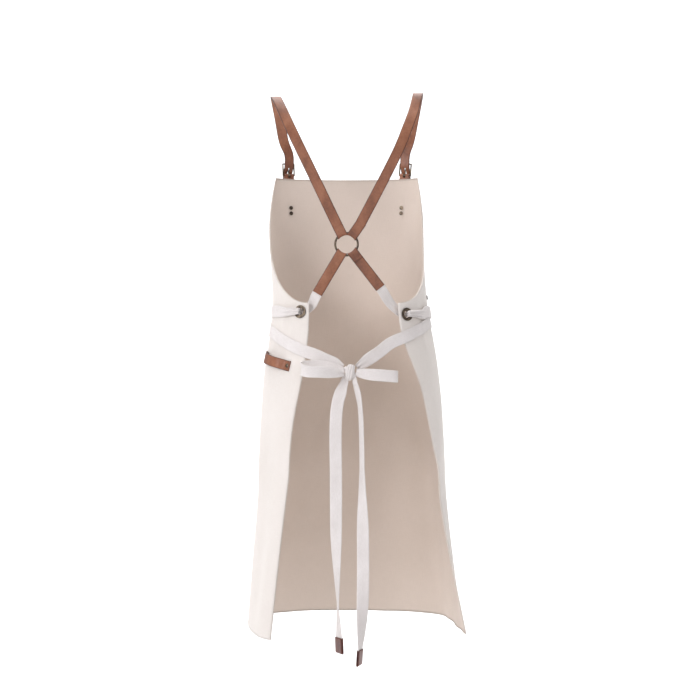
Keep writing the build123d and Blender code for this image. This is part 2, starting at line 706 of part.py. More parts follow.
def side_stud():
    """Domed metal stud on the right side of the waist, above the tie."""
    across, height = STUD_PLACE
    down = down_at(across, height)
    normal = canvas_normal(across, down)
    dome = Cylinder(STUD_RADIUS, STUD_HEIGHT, align=(Align.CENTER, Align.CENTER, Align.MIN))
    seat = Plane(on_canvas(across, down, CANVAS_THICKNESS / 2 + 0.3), z_dir=normal)
    return seat * fillet(dome.edges()[0], STUD_HEIGHT / 2)


# ---- assembly ------------------------------------------------------------------------------------
def apron():
    pieces = {"canvas_panel": canvas_panel()}
    pieces.update(hems())
    pieces["waist_pocket"] = pocket(POCKET_SHARE, POCKET_TOP, POCKET_HEIGHT, POCKET_BULGE)
    pieces["chest_pocket"] = pocket(CHEST_POCKET_SHARE, CHEST_POCKET_TOP, CHEST_POCKET_HEIGHT, CHEST_POCKET_BULGE)
    pieces["back_ring"] = back_ring()
    makers = {
        "shoulder_strap": shoulder_strap, "lower_strap": lower_strap, "bib_tab": bib_tab,
        "buckle_frame": buckle_frame, "buckle_prong": buckle_prong, "strap_keeper": keeper,
        "eyelet": eyelet, "eyelet_washer": eyelet_washer, "waist_tie": waist_tie,
        "bow_loop": bow_loop, "tie_tail": tie_tail, "tie_tip": tie_tip,
    }
    for side in ("left", "right"):
        for name, make in makers.items():
            pieces[side + "_" + name] = make(side)
    pieces["bib_rivets"] = bib_rivets()
    pieces["bow_knot"] = bow_knot()
    pieces["towel_loop"] = towel_loop()
    pieces["towel_loop_rivets"] = towel_loop_rivets()
    pieces["side_stud"] = side_stud()
    return pieces


os.makedirs("parts", exist_ok=True)
for node, shape in apron().items():
    export_step(shape, "parts/" + node + ".step")
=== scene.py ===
"""Cross-back butcher apron: the visible pieces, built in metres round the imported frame.

+Z is up, +Y is the wearer's front and +X the wearer's right. The origin lies midway between the shoulder rests.
"""

import logging
import math
from dataclasses import dataclass, field
from enum import Enum
from typing import Callable, Optional, Sequence

import bmesh
import bpy
import numpy as np
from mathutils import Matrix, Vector


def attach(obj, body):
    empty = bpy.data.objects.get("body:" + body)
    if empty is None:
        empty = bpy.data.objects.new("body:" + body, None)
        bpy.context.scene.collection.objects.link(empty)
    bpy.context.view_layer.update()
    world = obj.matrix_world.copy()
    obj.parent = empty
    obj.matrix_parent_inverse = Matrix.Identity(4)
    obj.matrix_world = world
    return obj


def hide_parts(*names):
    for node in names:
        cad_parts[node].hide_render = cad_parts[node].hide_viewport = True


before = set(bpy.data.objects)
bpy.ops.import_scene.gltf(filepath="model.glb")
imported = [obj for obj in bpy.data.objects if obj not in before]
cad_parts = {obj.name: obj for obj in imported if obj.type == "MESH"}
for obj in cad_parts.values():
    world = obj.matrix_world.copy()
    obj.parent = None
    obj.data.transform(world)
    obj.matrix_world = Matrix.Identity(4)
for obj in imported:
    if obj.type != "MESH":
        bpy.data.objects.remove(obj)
LOG = logging.getLogger("apron")
MM = 0.001
ROOT = "apron"
Point = tuple[float, float, float]


class Side(Enum):
    """The wearer's two sides."""

    LEFT = "left"
    RIGHT = "right"

    @property
    def sign(self) -> int:
        """-1 on the wearer's left, +1 on the right."""
        return -1 if self is Side.LEFT else 1

    def node(self, name: str) -> str:
        """Name of this side's CAD node."""
        return f"{self.value}_{name}"


def mm(*values: float) -> Vector:
    """A vector given in millimetres."""
    return Vector([value * MM for value in values])


def unit(rows: np.ndarray) -> np.ndarray:
    """Vectors of an array scaled to length one."""
    return rows / np.maximum(np.linalg.norm(rows, axis=-1, keepdims=True), 1e-12)


# ---------------------------------------------------------------------------------------------------- finishes
class NodeBoard:
    """A short way to lay out a material's nodes."""

    def __init__(self, name: str) -> None:
        """Starts a material with a Principled shader.

        Args:
            name: The material's name.
        """
        self.material = bpy.data.materials.new(name)
        self.material.use_nodes = True
        self.tree = self.material.node_tree
        self.shader = self.tree.nodes["Principled BSDF"]

    def add(self, kind: str, **settings: object) -> bpy.types.Node:
        """Adds a node; settings named like an input set that input's value, others set properties.

        Args:
            kind: The node's type.
            settings: Input values or node properties.

        Returns:
            The new node.
        """
        node = self.tree.nodes.new(kind)
        for key, value in settings.items():
            label = key.replace("_", " ")
            if label in node.inputs:
                node.inputs[label].default_value = value
            else:
                setattr(node, key, value)
        return node

    def link(self, source: bpy.types.NodeSocket, target: bpy.types.NodeSocket) -> None:
        """Joins two sockets."""
        self.tree.links.new(source, target)

    def uv(self) -> bpy.types.NodeSocket:
        """The piece's own UV map, in metres of cloth or leather."""
        return self.add("ShaderNodeUVMap", uv_map="flat").outputs["UV"]

    def place(self) -> bpy.types.NodeSocket:
        """Object coordinates."""
        return self.add("ShaderNodeTexCoord").outputs["Object"]

    def scaled(self, source: bpy.types.NodeSocket, scale: Point) -> bpy.types.NodeSocket:
        """Coordinates multiplied axis by axis."""
        node = self.add("ShaderNodeMapping")
        node.inputs["Scale"].default_value = scale
        self.link(source, node.inputs["Vector"])
        return node.outputs["Vector"]

    def noise(self, source: bpy.types.NodeSocket, scale: float, detail: float = 3.0,
              rough: float = 0.55) -> bpy.types.NodeSocket:
        """A noise pattern's factor.

        Args:
            source: Coordinates.
            scale: Patterns to a unit.
            detail: Octaves.
            rough: Strength of the finer octaves.

        Returns:
            The factor's socket.
        """
        node = self.add("ShaderNodeTexNoise", Scale=scale, Detail=detail, Roughness=rough)
        self.link(source, node.inputs["Vector"])
        return node.outputs["Fac"]

    def maths(self, operation: str, first: object, second: object = 0.0) -> bpy.types.NodeSocket:
        """A Math node on sockets or numbers.

        Args:
            operation: The node's operation.
            first: Socket or number.
            second: Socket or number.

        Returns:
            The result's socket.
        """
        node = self.add("ShaderNodeMath", operation=operation)
        for index, value in enumerate((first, second)):
            if isinstance(value, bpy.types.NodeSocket):
                self.link(value, node.inputs[index])
            else:
                node.inputs[index].default_value = value
        return node.outputs[0]

    def ramp(self, source: bpy.types.NodeSocket, stops: Sequence[tuple[float, Point]]) -> bpy.types.NodeSocket:
        """A colour ramp through the given stops.

        Args:
            source: Socket that picks the colour.
            stops: Position and colour of each stop.

        Returns:
            The colour's socket.
        """
        node = self.add("ShaderNodeValToRGB")
        band = node.color_ramp
        while len(band.elements) < len(stops):
            band.elements.new(0.5)
        for element, (position, colour) in zip(band.elements, stops):
            element.position = position
            element.color = (*colour, 1.0)
        self.link(source, node.inputs["Fac"])
        return node.outputs["Color"]

    def mix(self, share: object, first: object, second: object, blend: str = "MIX") -> bpy.types.NodeSocket:
        """Two colours mixed.

        Args:
            share: Socket or number, 0 for the first colour.
            first: Socket or colour.
            second: Socket or colour.
            blend: How they are mixed.

        Returns:
            The colour's socket.
        """
        node = self.add("ShaderNodeMix", data_type="RGBA", blend_type=blend)
        for index, value in ((0, share), (6, first), (7, second)):
            if isinstance(value, bpy.types.NodeSocket):
                self.link(value, node.inputs[index])
            elif index == 0:
                node.inputs[index].default_value = value
            else:
                node.inputs[index].default_value = (*value, 1.0)
        return node.outputs[2]

    def bump(self, height: bpy.types.NodeSocket, distance: float, strength: float = 1.0,
             under: Optional[bpy.types.NodeSocket] = None) -> bpy.types.NodeSocket:
        """A bump on the surface normal.

        Args:
            height: Socket with the height pattern.
            distance: Height of the pattern in metres.
            strength: Share of the bump that is used.
            under: Normal that it is laid over.

        Returns:
            The normal's socket.
        """
        node = self.add("ShaderNodeBump", Strength=strength, Distance=distance)
        self.link(height, node.inputs["Height"])
        if under is not None:
            self.link(under, node.inputs["Normal"])
        return node.outputs["Normal"]

    def finish(self, colour: bpy.types.NodeSocket, normal: bpy.types.NodeSocket,
               rough: Optional[bpy.types.NodeSocket] = None) -> bpy.types.Material:
        """Plugs the results into the shader.

        Args:
            colour: Base colour.
            normal: Bumped normal.
            rough: Roughness, where it varies.

        Returns:
            The finished material.
        """
        self.link(colour, self.shader.inputs["Base Color"])
        self.link(normal, self.shader.inputs["Normal"])
        if rough is not None:
            self.link(rough, self.shader.inputs["Roughness"])
        return self.material


@dataclass(frozen=True)
class CanvasFinish:
    """Plain-weave natural cotton canvas with slubs, seed flecks and painted shade on its body side."""

    name: str = "canvas"
    yarn: float = 0.0007
    light: Point = (0.82, 0.757, 0.70)
    shade: Point = (0.73, 0.665, 0.60)
    fleck: Point = (0.45, 0.36, 0.27)
    # Painted shade: tint multiplied onto the canvas's body side (its inner face), darkening and warming it as
    # shaded cloth.
    body_side_shade: Point = (0.89, 0.82, 0.765)

    def material(self) -> bpy.types.Material:
        """Builds the canvas material.

        Returns:
            The material.
        """
        board = NodeBoard(self.name)
        flat = board.uv()
        turns = 2 * math.pi / self.yarn
        split = board.add("ShaderNodeSeparateXYZ")
        board.link(flat, split.inputs[0])
        warp = board.maths("SINE", board.maths("MULTIPLY", split.outputs[0], turns))
        weft = board.maths("SINE", board.maths("MULTIPLY", split.outputs[1], turns))
        weave = board.maths("MULTIPLY", warp, weft)
        long_slub = board.noise(board.scaled(flat, (1400, 60, 1)), 1.0, 2.0)
        cross_slub = board.noise(board.scaled(flat, (60, 1400, 1)), 1.0, 2.0)
        slub = board.maths("ADD", long_slub, cross_slub)
        cloud = board.noise(board.scaled(flat, (9, 9, 1)), 1.0, 4.0)
        tone = board.maths("MULTIPLY", board.maths("ADD", slub, cloud), 0.36)
        colour = board.ramp(tone, [(0.3, self.shade), (0.72, self.light)])
        seeds = board.noise(board.scaled(flat, (520, 420, 1)), 1.0, 1.0)
        spots = board.ramp(seeds, [(0.755, (0, 0, 0)), (0.80, (0.5, 0.5, 0.5))])
        colour = board.mix(spots, colour, self.fleck)
        # Painted shade: the canvas's inner face is darkened and warmed by multiplying in the body-side tint.
        inner_shade_mask = board.add("ShaderNodeAttribute", attribute_name="body_side_shade")
        colour = board.mix(inner_shade_mask.outputs["Fac"], colour, board.mix(1.0, colour, self.body_side_shade, "MULTIPLY"))
        fine = board.bump(weave, 0.00012, 0.55)
        normal = board.bump(slub, 0.0006, 0.35, fine)
        board.shader.inputs["Roughness"].default_value = 0.93
        board.shader.inputs["Specular IOR Level"].default_value = 0.22
        board.shader.inputs["Sheen Weight"].default_value = 0.22
        board.shader.inputs["Sheen Roughness"].default_value = 0.6
        return board.finish(colour, normal)


@dataclass(frozen=True)
class WebbingFinish:
    """Flat cotton webbing in a herringbone weave, with firm selvedges and painted shade in the twill's grooves."""

    name: str = "cotton_webbing"
    rib: float = 0.0016
    half_width: float = 0.0115
    light: Point = (0.88, 0.825, 0.795)
    shade: Point = (0.75, 0.69, 0.65)

    def material(self) -> bpy.types.Material:
        """Builds the webbing material.

        Returns:
            The material.
        """
        board = NodeBoard(self.name)
        flat = board.uv()
        split = board.add("ShaderNodeSeparateXYZ")
        board.link(flat, split.inputs[0])
        across = board.maths("PINGPONG", split.outputs[1], self.half_width / 2)
        slant = board.maths("ADD", split.outputs[0], across)
        turns = 2 * math.pi / self.rib
        twill = board.maths("SINE", board.maths("MULTIPLY", slant, turns))
        yarns = board.maths("SINE", board.maths("MULTIPLY", split.outputs[1], turns * 1.7))
        weave = board.maths("ADD", twill, board.maths("MULTIPLY", yarns, 0.6))
        slub = board.noise(board.scaled(flat, (120, 900, 1)), 1.0, 3.0)
        cloud = board.noise(board.scaled(flat, (24, 30, 1)), 1.0, 3.0)
        tone = board.maths("MULTIPLY", board.maths("ADD", slub, cloud), 0.5)
        colour = board.ramp(tone, [(0.3, self.shade), (0.68, self.light)])
        # Painted shade: colour darkened in the twill's grooves, where the weave's relief is lowest.
        groove_shade = board.ramp(board.maths("MULTIPLY", board.maths("ADD", twill, 1.0), 0.5),
                            [(0.0, (0.86, 0.85, 0.84)), (0.5, (1, 1, 1))])
        colour = board.mix(1.0, colour, groove_shade, "MULTIPLY")
        normal = board.bump(slub, 0.0004, 0.3, board.bump(weave, 0.00022, 0.6))
        board.shader.inputs["Roughness"].default_value = 0.9
        board.shader.inputs["Specular IOR Level"].default_value = 0.25
        board.shader.inputs["Sheen Weight"].default_value = 0.2
        board.shader.inputs["Sheen Roughness"].default_value = 0.55
        return board.finish(colour, normal)


class EdgeSource(Enum):
    """Where a leather piece's edge darkening comes from."""

    FLAT_MAP = "flat"
    NONE = "none"


@dataclass(frozen=True)
class LeatherFinish:
    """Chestnut full-grain leather: fine pebbled grain, pull-up tones, dark burnished edges."""

    name: str = "strap_leather"
    width: float = 0.020
    edge: EdgeSource = EdgeSource.FLAT_MAP
    dark: Point = (0.115, 0.036, 0.016)
    middle: Point = (0.235, 0.082, 0.036)
    light: Point = (0.34, 0.135, 0.066)

    def material(self) -> bpy.types.Material:
        """Builds the leather material.

        Returns:
            The material.
        """
        board = NodeBoard(self.name)
        place = board.place()
        grain = board.add("ShaderNodeTexVoronoi", feature="DISTANCE_TO_EDGE", Scale=900.0)
        board.link(place, grain.inputs["Vector"])
        pores = board.noise(place, 1500.0, 2.0)
        pull = board.noise(board.scaled(place, (1, 1, 0.6)), 34.0, 4.0)
        fibre = board.noise(place, 260.0, 3.0)
        tone = board.maths("ADD", board.maths("MULTIPLY", pull, 0.75), board.maths("MULTIPLY", fibre, 0.25))
        colour = board.ramp(tone, [(0.30, self.dark), (0.50, self.middle), (0.70, self.light)])
        if self.edge is EdgeSource.FLAT_MAP:
            split = board.add("ShaderNodeSeparateXYZ")
            board.link(board.uv(), split.inputs[0])
            inset = board.maths("ABSOLUTE", board.maths("SUBTRACT", split.outputs[1], self.width / 2))
            share = board.maths("DIVIDE", inset, self.width / 2)
            rim = board.ramp(share, [(0.80, (1, 1, 1)), (0.90, (0.62, 0.55, 0.52)), (0.99, (0.26, 0.2, 0.18))])
            colour = board.mix(1.0, colour, rim, "MULTIPLY")
        creases = board.ramp(grain.outputs["Distance"], [(0.0, (0, 0, 0)), (0.12, (1, 1, 1))])
        fine = board.bump(creases, 0.00008, 0.5)
        normal = board.bump(pores, 0.00012, 0.45, fine)
        rough = board.maths("ADD", board.maths("MULTIPLY", pull, 0.22), 0.34)
        board.shader.inputs["Specular IOR Level"].default_value = 0.5
        board.shader.inputs["Coat Weight"].default_value = 0.12
        board.shader.inputs["Coat Roughness"].default_value = 0.35
        return board.finish(colour, normal, rough)


@dataclass(frozen=True)
class BrassFinish:
    """Dark antique brass, rubbed brighter in patches."""

    name: str = "antique_brass"
    dark: Point = (0.07, 0.056, 0.046)
    bright: Point = (0.235, 0.18, 0.125)

    def material(self) -> bpy.types.Material:
        """Builds the metal material.

        Returns:
            The material.
        """
        board = NodeBoard(self.name)
        place = board.place()
        patches = board.noise(place, 130.0, 4.0)
        scratches = board.noise(board.scaled(place, (1, 1, 9)), 420.0, 3.0)
        tone = board.maths("ADD", board.maths("MULTIPLY", patches, 0.7), board.maths("MULTIPLY", scratches, 0.3))
        colour = board.ramp(tone, [(0.42, self.dark), (0.62, self.bright)])
        rough = board.maths("ADD", board.maths("MULTIPLY", scratches, 0.3), 0.26)
        normal = board.bump(scratches, 0.00008, 0.35)
        board.shader.inputs["Metallic"].default_value = 1.0
        return board.finish(colour, normal, rough)


@dataclass(frozen=True)
class ThreadFinish:
    """Waxed sewing thread."""

    name: str = "thread"
    colour: Point = (0.70, 0.63, 0.54)

    def material(self) -> bpy.types.Material:
        """Builds the thread material.

        Returns:
            The material.
        """
        board = NodeBoard(self.name)
        twist = board.noise(board.place(), 1800.0, 2.0)
        dark = tuple(0.7 * value for value in self.colour)
        colour = board.ramp(twist, [(0.35, dark), (0.65, self.colour)])
        board.shader.inputs["Roughness"].default_value = 0.7
        return board.finish(colour, board.bump(twist, 0.0001, 0.4))


class Finishes:
    """Every material of the apron, made once."""

    def __init__(self) -> None:
        """Builds the materials."""
        self.canvas = CanvasFinish().material()
        self.webbing = WebbingFinish().material()
        self.leather = LeatherFinish().material()
        self.plain_leather = LeatherFinish(name="tab_leather", edge=EdgeSource.NONE).material()
        self.tip_leather = LeatherFinish(
            name="tip_leather", edge=EdgeSource.NONE,
            dark=(0.07, 0.022, 0.016), middle=(0.14, 0.045, 0.03), light=(0.2, 0.07, 0.045)).material()
        self.brass = BrassFinish().material()
        self.thread = ThreadFinish().material()
        self.leather_thread = ThreadFinish(name="leather_thread", colour=(0.30, 0.13, 0.07)).material()


# ---------------------------------------------------------------------------------------------------- mesh tools
def new_piece(name: str, verts: np.ndarray, faces: Sequence[Sequence[int]], material: bpy.types.Material,
              flat: Optional[np.ndarray] = None, smooth: bool = True) -> bpy.types.Object:
    """Makes a mesh object at the origin.

    Args:
        name: The piece's name.
        verts: Vertex positions in metres.
        faces: Vertex indices of each face.
        material: Its material.
        flat: A flat position in metres for each vertex, kept as the UV map "flat".
        smooth: Whether it is shaded smooth.

    Returns:
        The new object.
    """
    mesh = bpy.data.meshes.new(name)
    mesh.from_pydata([tuple(v) for v in verts], [], [tuple(f) for f in faces])
    if flat is not None:
        layer = mesh.uv_layers.new(name="flat")
        index = np.empty(len(mesh.loops), dtype=np.int32)
        mesh.loops.foreach_get("vertex_index", index)
        layer.data.foreach_set("uv", np.asarray(flat, dtype=np.float32)[index].ravel())
    mesh.materials.append(material)
    mesh.validate()
    obj = bpy.data.objects.new(name, mesh)
    bpy.context.scene.collection.objects.link(obj)
    if smooth:
        mesh.shade_smooth()
    return obj


def apply_modifiers(obj: bpy.types.Object) -> None:
    """Replaces a piece's mesh by its evaluated result and removes its modifiers.

    Args:
        obj: The piece.
    """
    graph = bpy.context.evaluated_depsgraph_get()
    graph.update()
    mesh = bpy.data.meshes.new_from_object(obj.evaluated_get(graph), depsgraph=graph)
    obj.modifiers.clear()
    obj.data = mesh


def settle(obj: bpy.types.Object, slot: str, *nodes: str, body: str = ROOT) -> bpy.types.Object:
    """Rides a finished piece on a body and hides the CAD nodes that it stands for.

    Args:
        obj: The piece.
        slot: Not used.
        nodes: CAD nodes that it stands for.
        body: Body that it rides on.

    Returns:
        The same piece.
    """
    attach(obj, body)
    if nodes:
        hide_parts(*nodes)
    LOG.info("%s: %d faces on %s", obj.name, len(obj.data.polygons), body)
    return obj


def smooth_line(points: Sequence[Vector], steps: int) -> np.ndarray:
    """A Catmull-Rom curve through points.

    Args:
        points: The points that it passes through.
        steps: Number of divisions of each span.

    Returns:
        The curve's points as an array.
    """
    rows = np.array([tuple(p) for p in points], dtype=float)
    padded = np.vstack([2 * rows[0] - rows[1], rows, 2 * rows[-1] - rows[-2]])
    curve = []
    for k in range(len(rows) - 1):
        before, start, end, after = padded[k:k + 4]
        for step in range(steps):
            t = step / steps
            curve.append(0.5 * (2 * start + (end - before) * t
                                + (2 * before - 5 * start + 4 * end - after) * t * t
                                + (3 * start - before - 3 * end + after) * t ** 3))
    curve.append(rows[-1])
    return np.array(curve)


def lengths_along(points: np.ndarray) -> np.ndarray:
    """Distance of each point from the first, along the line."""
    return np.concatenate([[0.0], np.cumsum(np.linalg.norm(np.diff(points, axis=0), axis=1))])


def evenly(points: np.ndarray, spacing: float, *carried: np.ndarray) -> list[np.ndarray]:
    """A line and its carried values resampled to an even spacing.

    Args:
        points: Points of the line.
        spacing: Distance between the new points.
        carried: Values at each point, resampled with the line.

    Returns:
        The new points, then each carried table.
    """
    lengths = lengths_along(points)
    count = max(2, int(round(lengths[-1] / spacing)) + 1)
    marks = np.linspace(0, lengths[-1], count)
    results = []
    for table in (points, *carried):
        table = np.asarray(table, dtype=float)
        if table.ndim == 1:
            results.append(np.interp(marks, lengths, table))
        else:
            columns = [np.interp(marks, lengths, table[:, k]) for k in range(table.shape[1])]
            results.append(np.stack(columns, axis=1))
    return results


@dataclass
class Ribbon:
    """A flat strip of leather or webbing with rounded edges, carried along a line.

    Attributes:
        points: The strip's middle line.
        facing: Outward direction at each point.
        width: Width at each point, or one width.
        thickness: Thickness at each point, or one thickness.
        gather: Height of the lengthwise pleats at each point.
        pleats: Number of pleats across the strip.
        sag: How far the strip's edges lean along the line at each point, as a share of a ring's curve.
        sag_radius: Radius of that ring.
        divisions: Faces across the strip.
    """

    points: np.ndarray
    facing: np.ndarray
    width: object
    thickness: object
    gather: object = 0.0
    pleats: float = 2.5
    sag: Optional[np.ndarray] = None
    sag_axis: Optional[np.ndarray] = None
    sag_radius: float = 0.0215
    divisions: int = 8

    def frames(self) -> tuple[np.ndarray, np.ndarray, np.ndarray]:
        """The tangent, sideways and facing directions at each point.

        Returns:
            Three tables of unit vectors.
        """
        tangent = unit(np.gradient(self.points, axis=0))
        sideways = unit(np.cross(tangent, self.facing))
        return tangent, sideways, unit(np.cross(sideways, tangent))

    def section(self) -> list[tuple[float, float]]:
        """The rounded cross-section: shares of half the width and of half the thickness.

        Returns:
            Corners of the cross-section in order.
        """
        spread = [-0.985 + 1.97 * k / self.divisions for k in range(self.divisions + 1)]
        over = [(s, 1.0) for s in spread]
        under = [(s, -1.0) for s in reversed(spread)]
        return over + [(1.0, 0.45), (1.0, -0.45)] + under + [(-1.0, -0.45), (-1.0, 0.45)]

    def build(self, name: str, material: bpy.types.Material) -> bpy.types.Object:
        """Makes the strip.

        Args:
            name: The piece's name.
            material: Its material.

        Returns:
            The mesh object.
        """
        count = len(self.points)
        _, sideways, facing = self.frames()
        width = np.broadcast_to(np.asarray(self.width, dtype=float), (count,))
        thickness = np.broadcast_to(np.asarray(self.thickness, dtype=float), (count,))
        gather = np.broadcast_to(np.asarray(self.gather, dtype=float), (count,))
        lengths = lengths_along(self.points)
        section = self.section()
        verts = []
        flat = []
        full = float(np.max(width))
        for k in range(count):
            for across, rise in section:
                reach = across * width[k] / 2
                lift = rise * thickness[k] / 2 + gather[k] * math.sin(across * math.pi * self.pleats)
                point = self.points[k] + sideways[k] * reach + facing[k] * lift
                if self.sag is not None and self.sag[k] > 0:
                    within = min(abs(reach), self.sag_radius)
                    lean = self.sag_radius - math.sqrt(self.sag_radius ** 2 - within ** 2)
                    point = point + self.sag_axis * lean * self.sag[k]
                verts.append(point)
                flat.append((lengths[k], (across + 1) / 2 * full))
        ring = len(section)
        faces = []
        for k in range(count - 1):
            for m in range(ring):
                n = (m + 1) % ring
                faces.append((k * ring + m, (k + 1) * ring + m, (k + 1) * ring + n, k * ring + n))
        faces.append(tuple(range(ring)))
        faces.append(tuple((count - 1) * ring + m for m in reversed(range(ring))))
        obj = new_piece(name, np.array(verts), faces, material, np.array(flat))
        outward_faces(obj)
        return obj


def outward_faces(obj: bpy.types.Object) -> None:
    """Points every face of a closed piece outwards.

    Args:
        obj: The piece.
    """
    sheet = bmesh.new()
    sheet.from_mesh(obj.data)
    bmesh.ops.recalc_face_normals(sheet, faces=sheet.faces)
    sheet.to_mesh(obj.data)
    sheet.free()


# ---------------------------------------------------------------------------------------------------- stitching
class StitchTree:
    """Geometry nodes that lay stitches along lines."""

    def __init__(self) -> None:
        """Builds the node tree."""
        tree = bpy.data.node_groups.new("stitching", "GeometryNodeTree")
        self.tree = tree
        tree.interface.new_socket("Geometry", in_out="OUTPUT", socket_type="NodeSocketGeometry")
        self.inputs = {}
        for label, kind in (("Lines", "Geometry"), ("Pitch", "Float"), ("Half length", "Float"),
                            ("Half thickness", "Float"), ("Thread", "Material")):
            self.inputs[label] = tree.interface.new_socket(label, in_out="INPUT", socket_type="NodeSocket" + kind)
        start = tree.nodes.new("NodeGroupInput")
        end = tree.nodes.new("NodeGroupOutput")
        spread = tree.nodes.new("GeometryNodeCurveToPoints")
        spread.mode = "LENGTH"
        turn = tree.nodes.new("FunctionNodeAlignRotationToVector")
        turn.axis = "X"
        stitch = tree.nodes.new("GeometryNodeMeshUVSphere")
        stitch.inputs["Segments"].default_value = 8
        stitch.inputs["Rings"].default_value = 4
        stitch.inputs["Radius"].default_value = 1.0
        size = tree.nodes.new("ShaderNodeCombineXYZ")
        place = tree.nodes.new("GeometryNodeInstanceOnPoints")
        real = tree.nodes.new("GeometryNodeRealizeInstances")
        shade = tree.nodes.new("GeometryNodeSetShadeSmooth")
        paint = tree.nodes.new("GeometryNodeSetMaterial")
        wires = [
            (start.outputs["Lines"], spread.inputs["Curve"]),
            (start.outputs["Pitch"], spread.inputs["Length"]),
            (spread.outputs["Tangent"], turn.inputs["Vector"]),
            (spread.outputs["Points"], place.inputs["Points"]),
            (stitch.outputs["Mesh"], place.inputs["Instance"]),
            (turn.outputs["Rotation"], place.inputs["Rotation"]),
            (start.outputs["Half length"], size.inputs["X"]),
            (start.outputs["Half thickness"], size.inputs["Y"]),
            (start.outputs["Half thickness"], size.inputs["Z"]),
            (size.outputs["Vector"], place.inputs["Scale"]),
            (place.outputs["Instances"], real.inputs["Geometry"]),
            (real.outputs["Geometry"], shade.inputs["Geometry"]),
            (shade.outputs["Geometry"], paint.inputs["Geometry"]),
            (start.outputs["Thread"], paint.inputs["Material"]),
            (paint.outputs["Geometry"], end.inputs["Geometry"]),
        ]
        for source, target in wires:
            tree.links.new(source, target)

    def sew(self, name: str, lines: Sequence[np.ndarray], material: bpy.types.Material, pitch: float = 0.0032,
            length: float = 0.0024, thickness: float = 0.0007) -> bpy.types.Object:
        """Lays stitches along lines and returns them as one plain mesh.

        Args:
            name: The piece's name.
            lines: Point arrays, one for each row of stitches.
            material: The thread.
            pitch: Distance from stitch to stitch.
            length: Length of a stitch.
            thickness: Thickness of the thread.

        Returns:
            The stitches.
        """
        curve = bpy.data.curves.new(name + "_lines", "CURVE")
        curve.dimensions = "3D"
        for line in lines:
            spline = curve.splines.new("POLY")
            spline.points.add(len(line) - 1)
            for target, point in zip(spline.points, line):
                target.co = (*point, 1.0)
        seam = bpy.data.objects.new(name + "_lines", curve)
        bpy.context.scene.collection.objects.link(seam)
        modifier = seam.modifiers.new("stitching", "NODES")
        modifier.node_group = self.tree
        values = {"Pitch": pitch, "Half length": length / 2, "Half thickness": thickness / 2, "Thread": material}
        for label, value in values.items():
            modifier[self.inputs[label].identifier] = value
        graph = bpy.context.evaluated_depsgraph_get()
        graph.update()
        mesh = bpy.data.meshes.new_from_object(seam.evaluated_get(graph), depsgraph=graph)
        mesh.name = name
        bpy.data.objects.remove(seam)
        obj = bpy.data.objects.new(name, mesh)
        bpy.context.scene.collection.objects.link(obj)
        return obj


# ---------------------------------------------------------------------------------------------------- worn canvas
@dataclass(frozen=True)
class Girth:
    """One level cut of the canvas as it hangs on the wearer, in millimetres."""

    height: float
    left: float
    right: float
    front: float
    side: float
    square: float
    left_edge: tuple[float, float]
    right_edge: tuple[float, float]


GIRTHS = (
    Girth(-150, 165, 165, 118, 20, 2.4, (-110, -80), (110, -80)),
    Girth(-300, 150, 150, 126, 24, 2.3, (-74, -66), (98, -64)),
    Girth(-420, 143, 159, 130, 28, 2.2, (-71, -68), (97, -66)),
    Girth(-480, 153, 172, 138, 30, 2.2, (-73, -80), (106, -74)),
    Girth(-545, 164, 182, 148, 32, 2.3, (-83, -88), (139, -62)),
    Girth(-615, 166, 188, 155, 35, 2.4, (-100, -92), (156, -50)),
    Girth(-705, 175, 197, 165, 40, 2.5, (-111, -92), (175, -38)),
    Girth(-825, 184, 205, 180, 48, 2.7, (-125, -90), (198, -24)),
    Girth(-1060, 204, 226, 204, 62, 3.0, (-151, -84), (245, -20)),
)


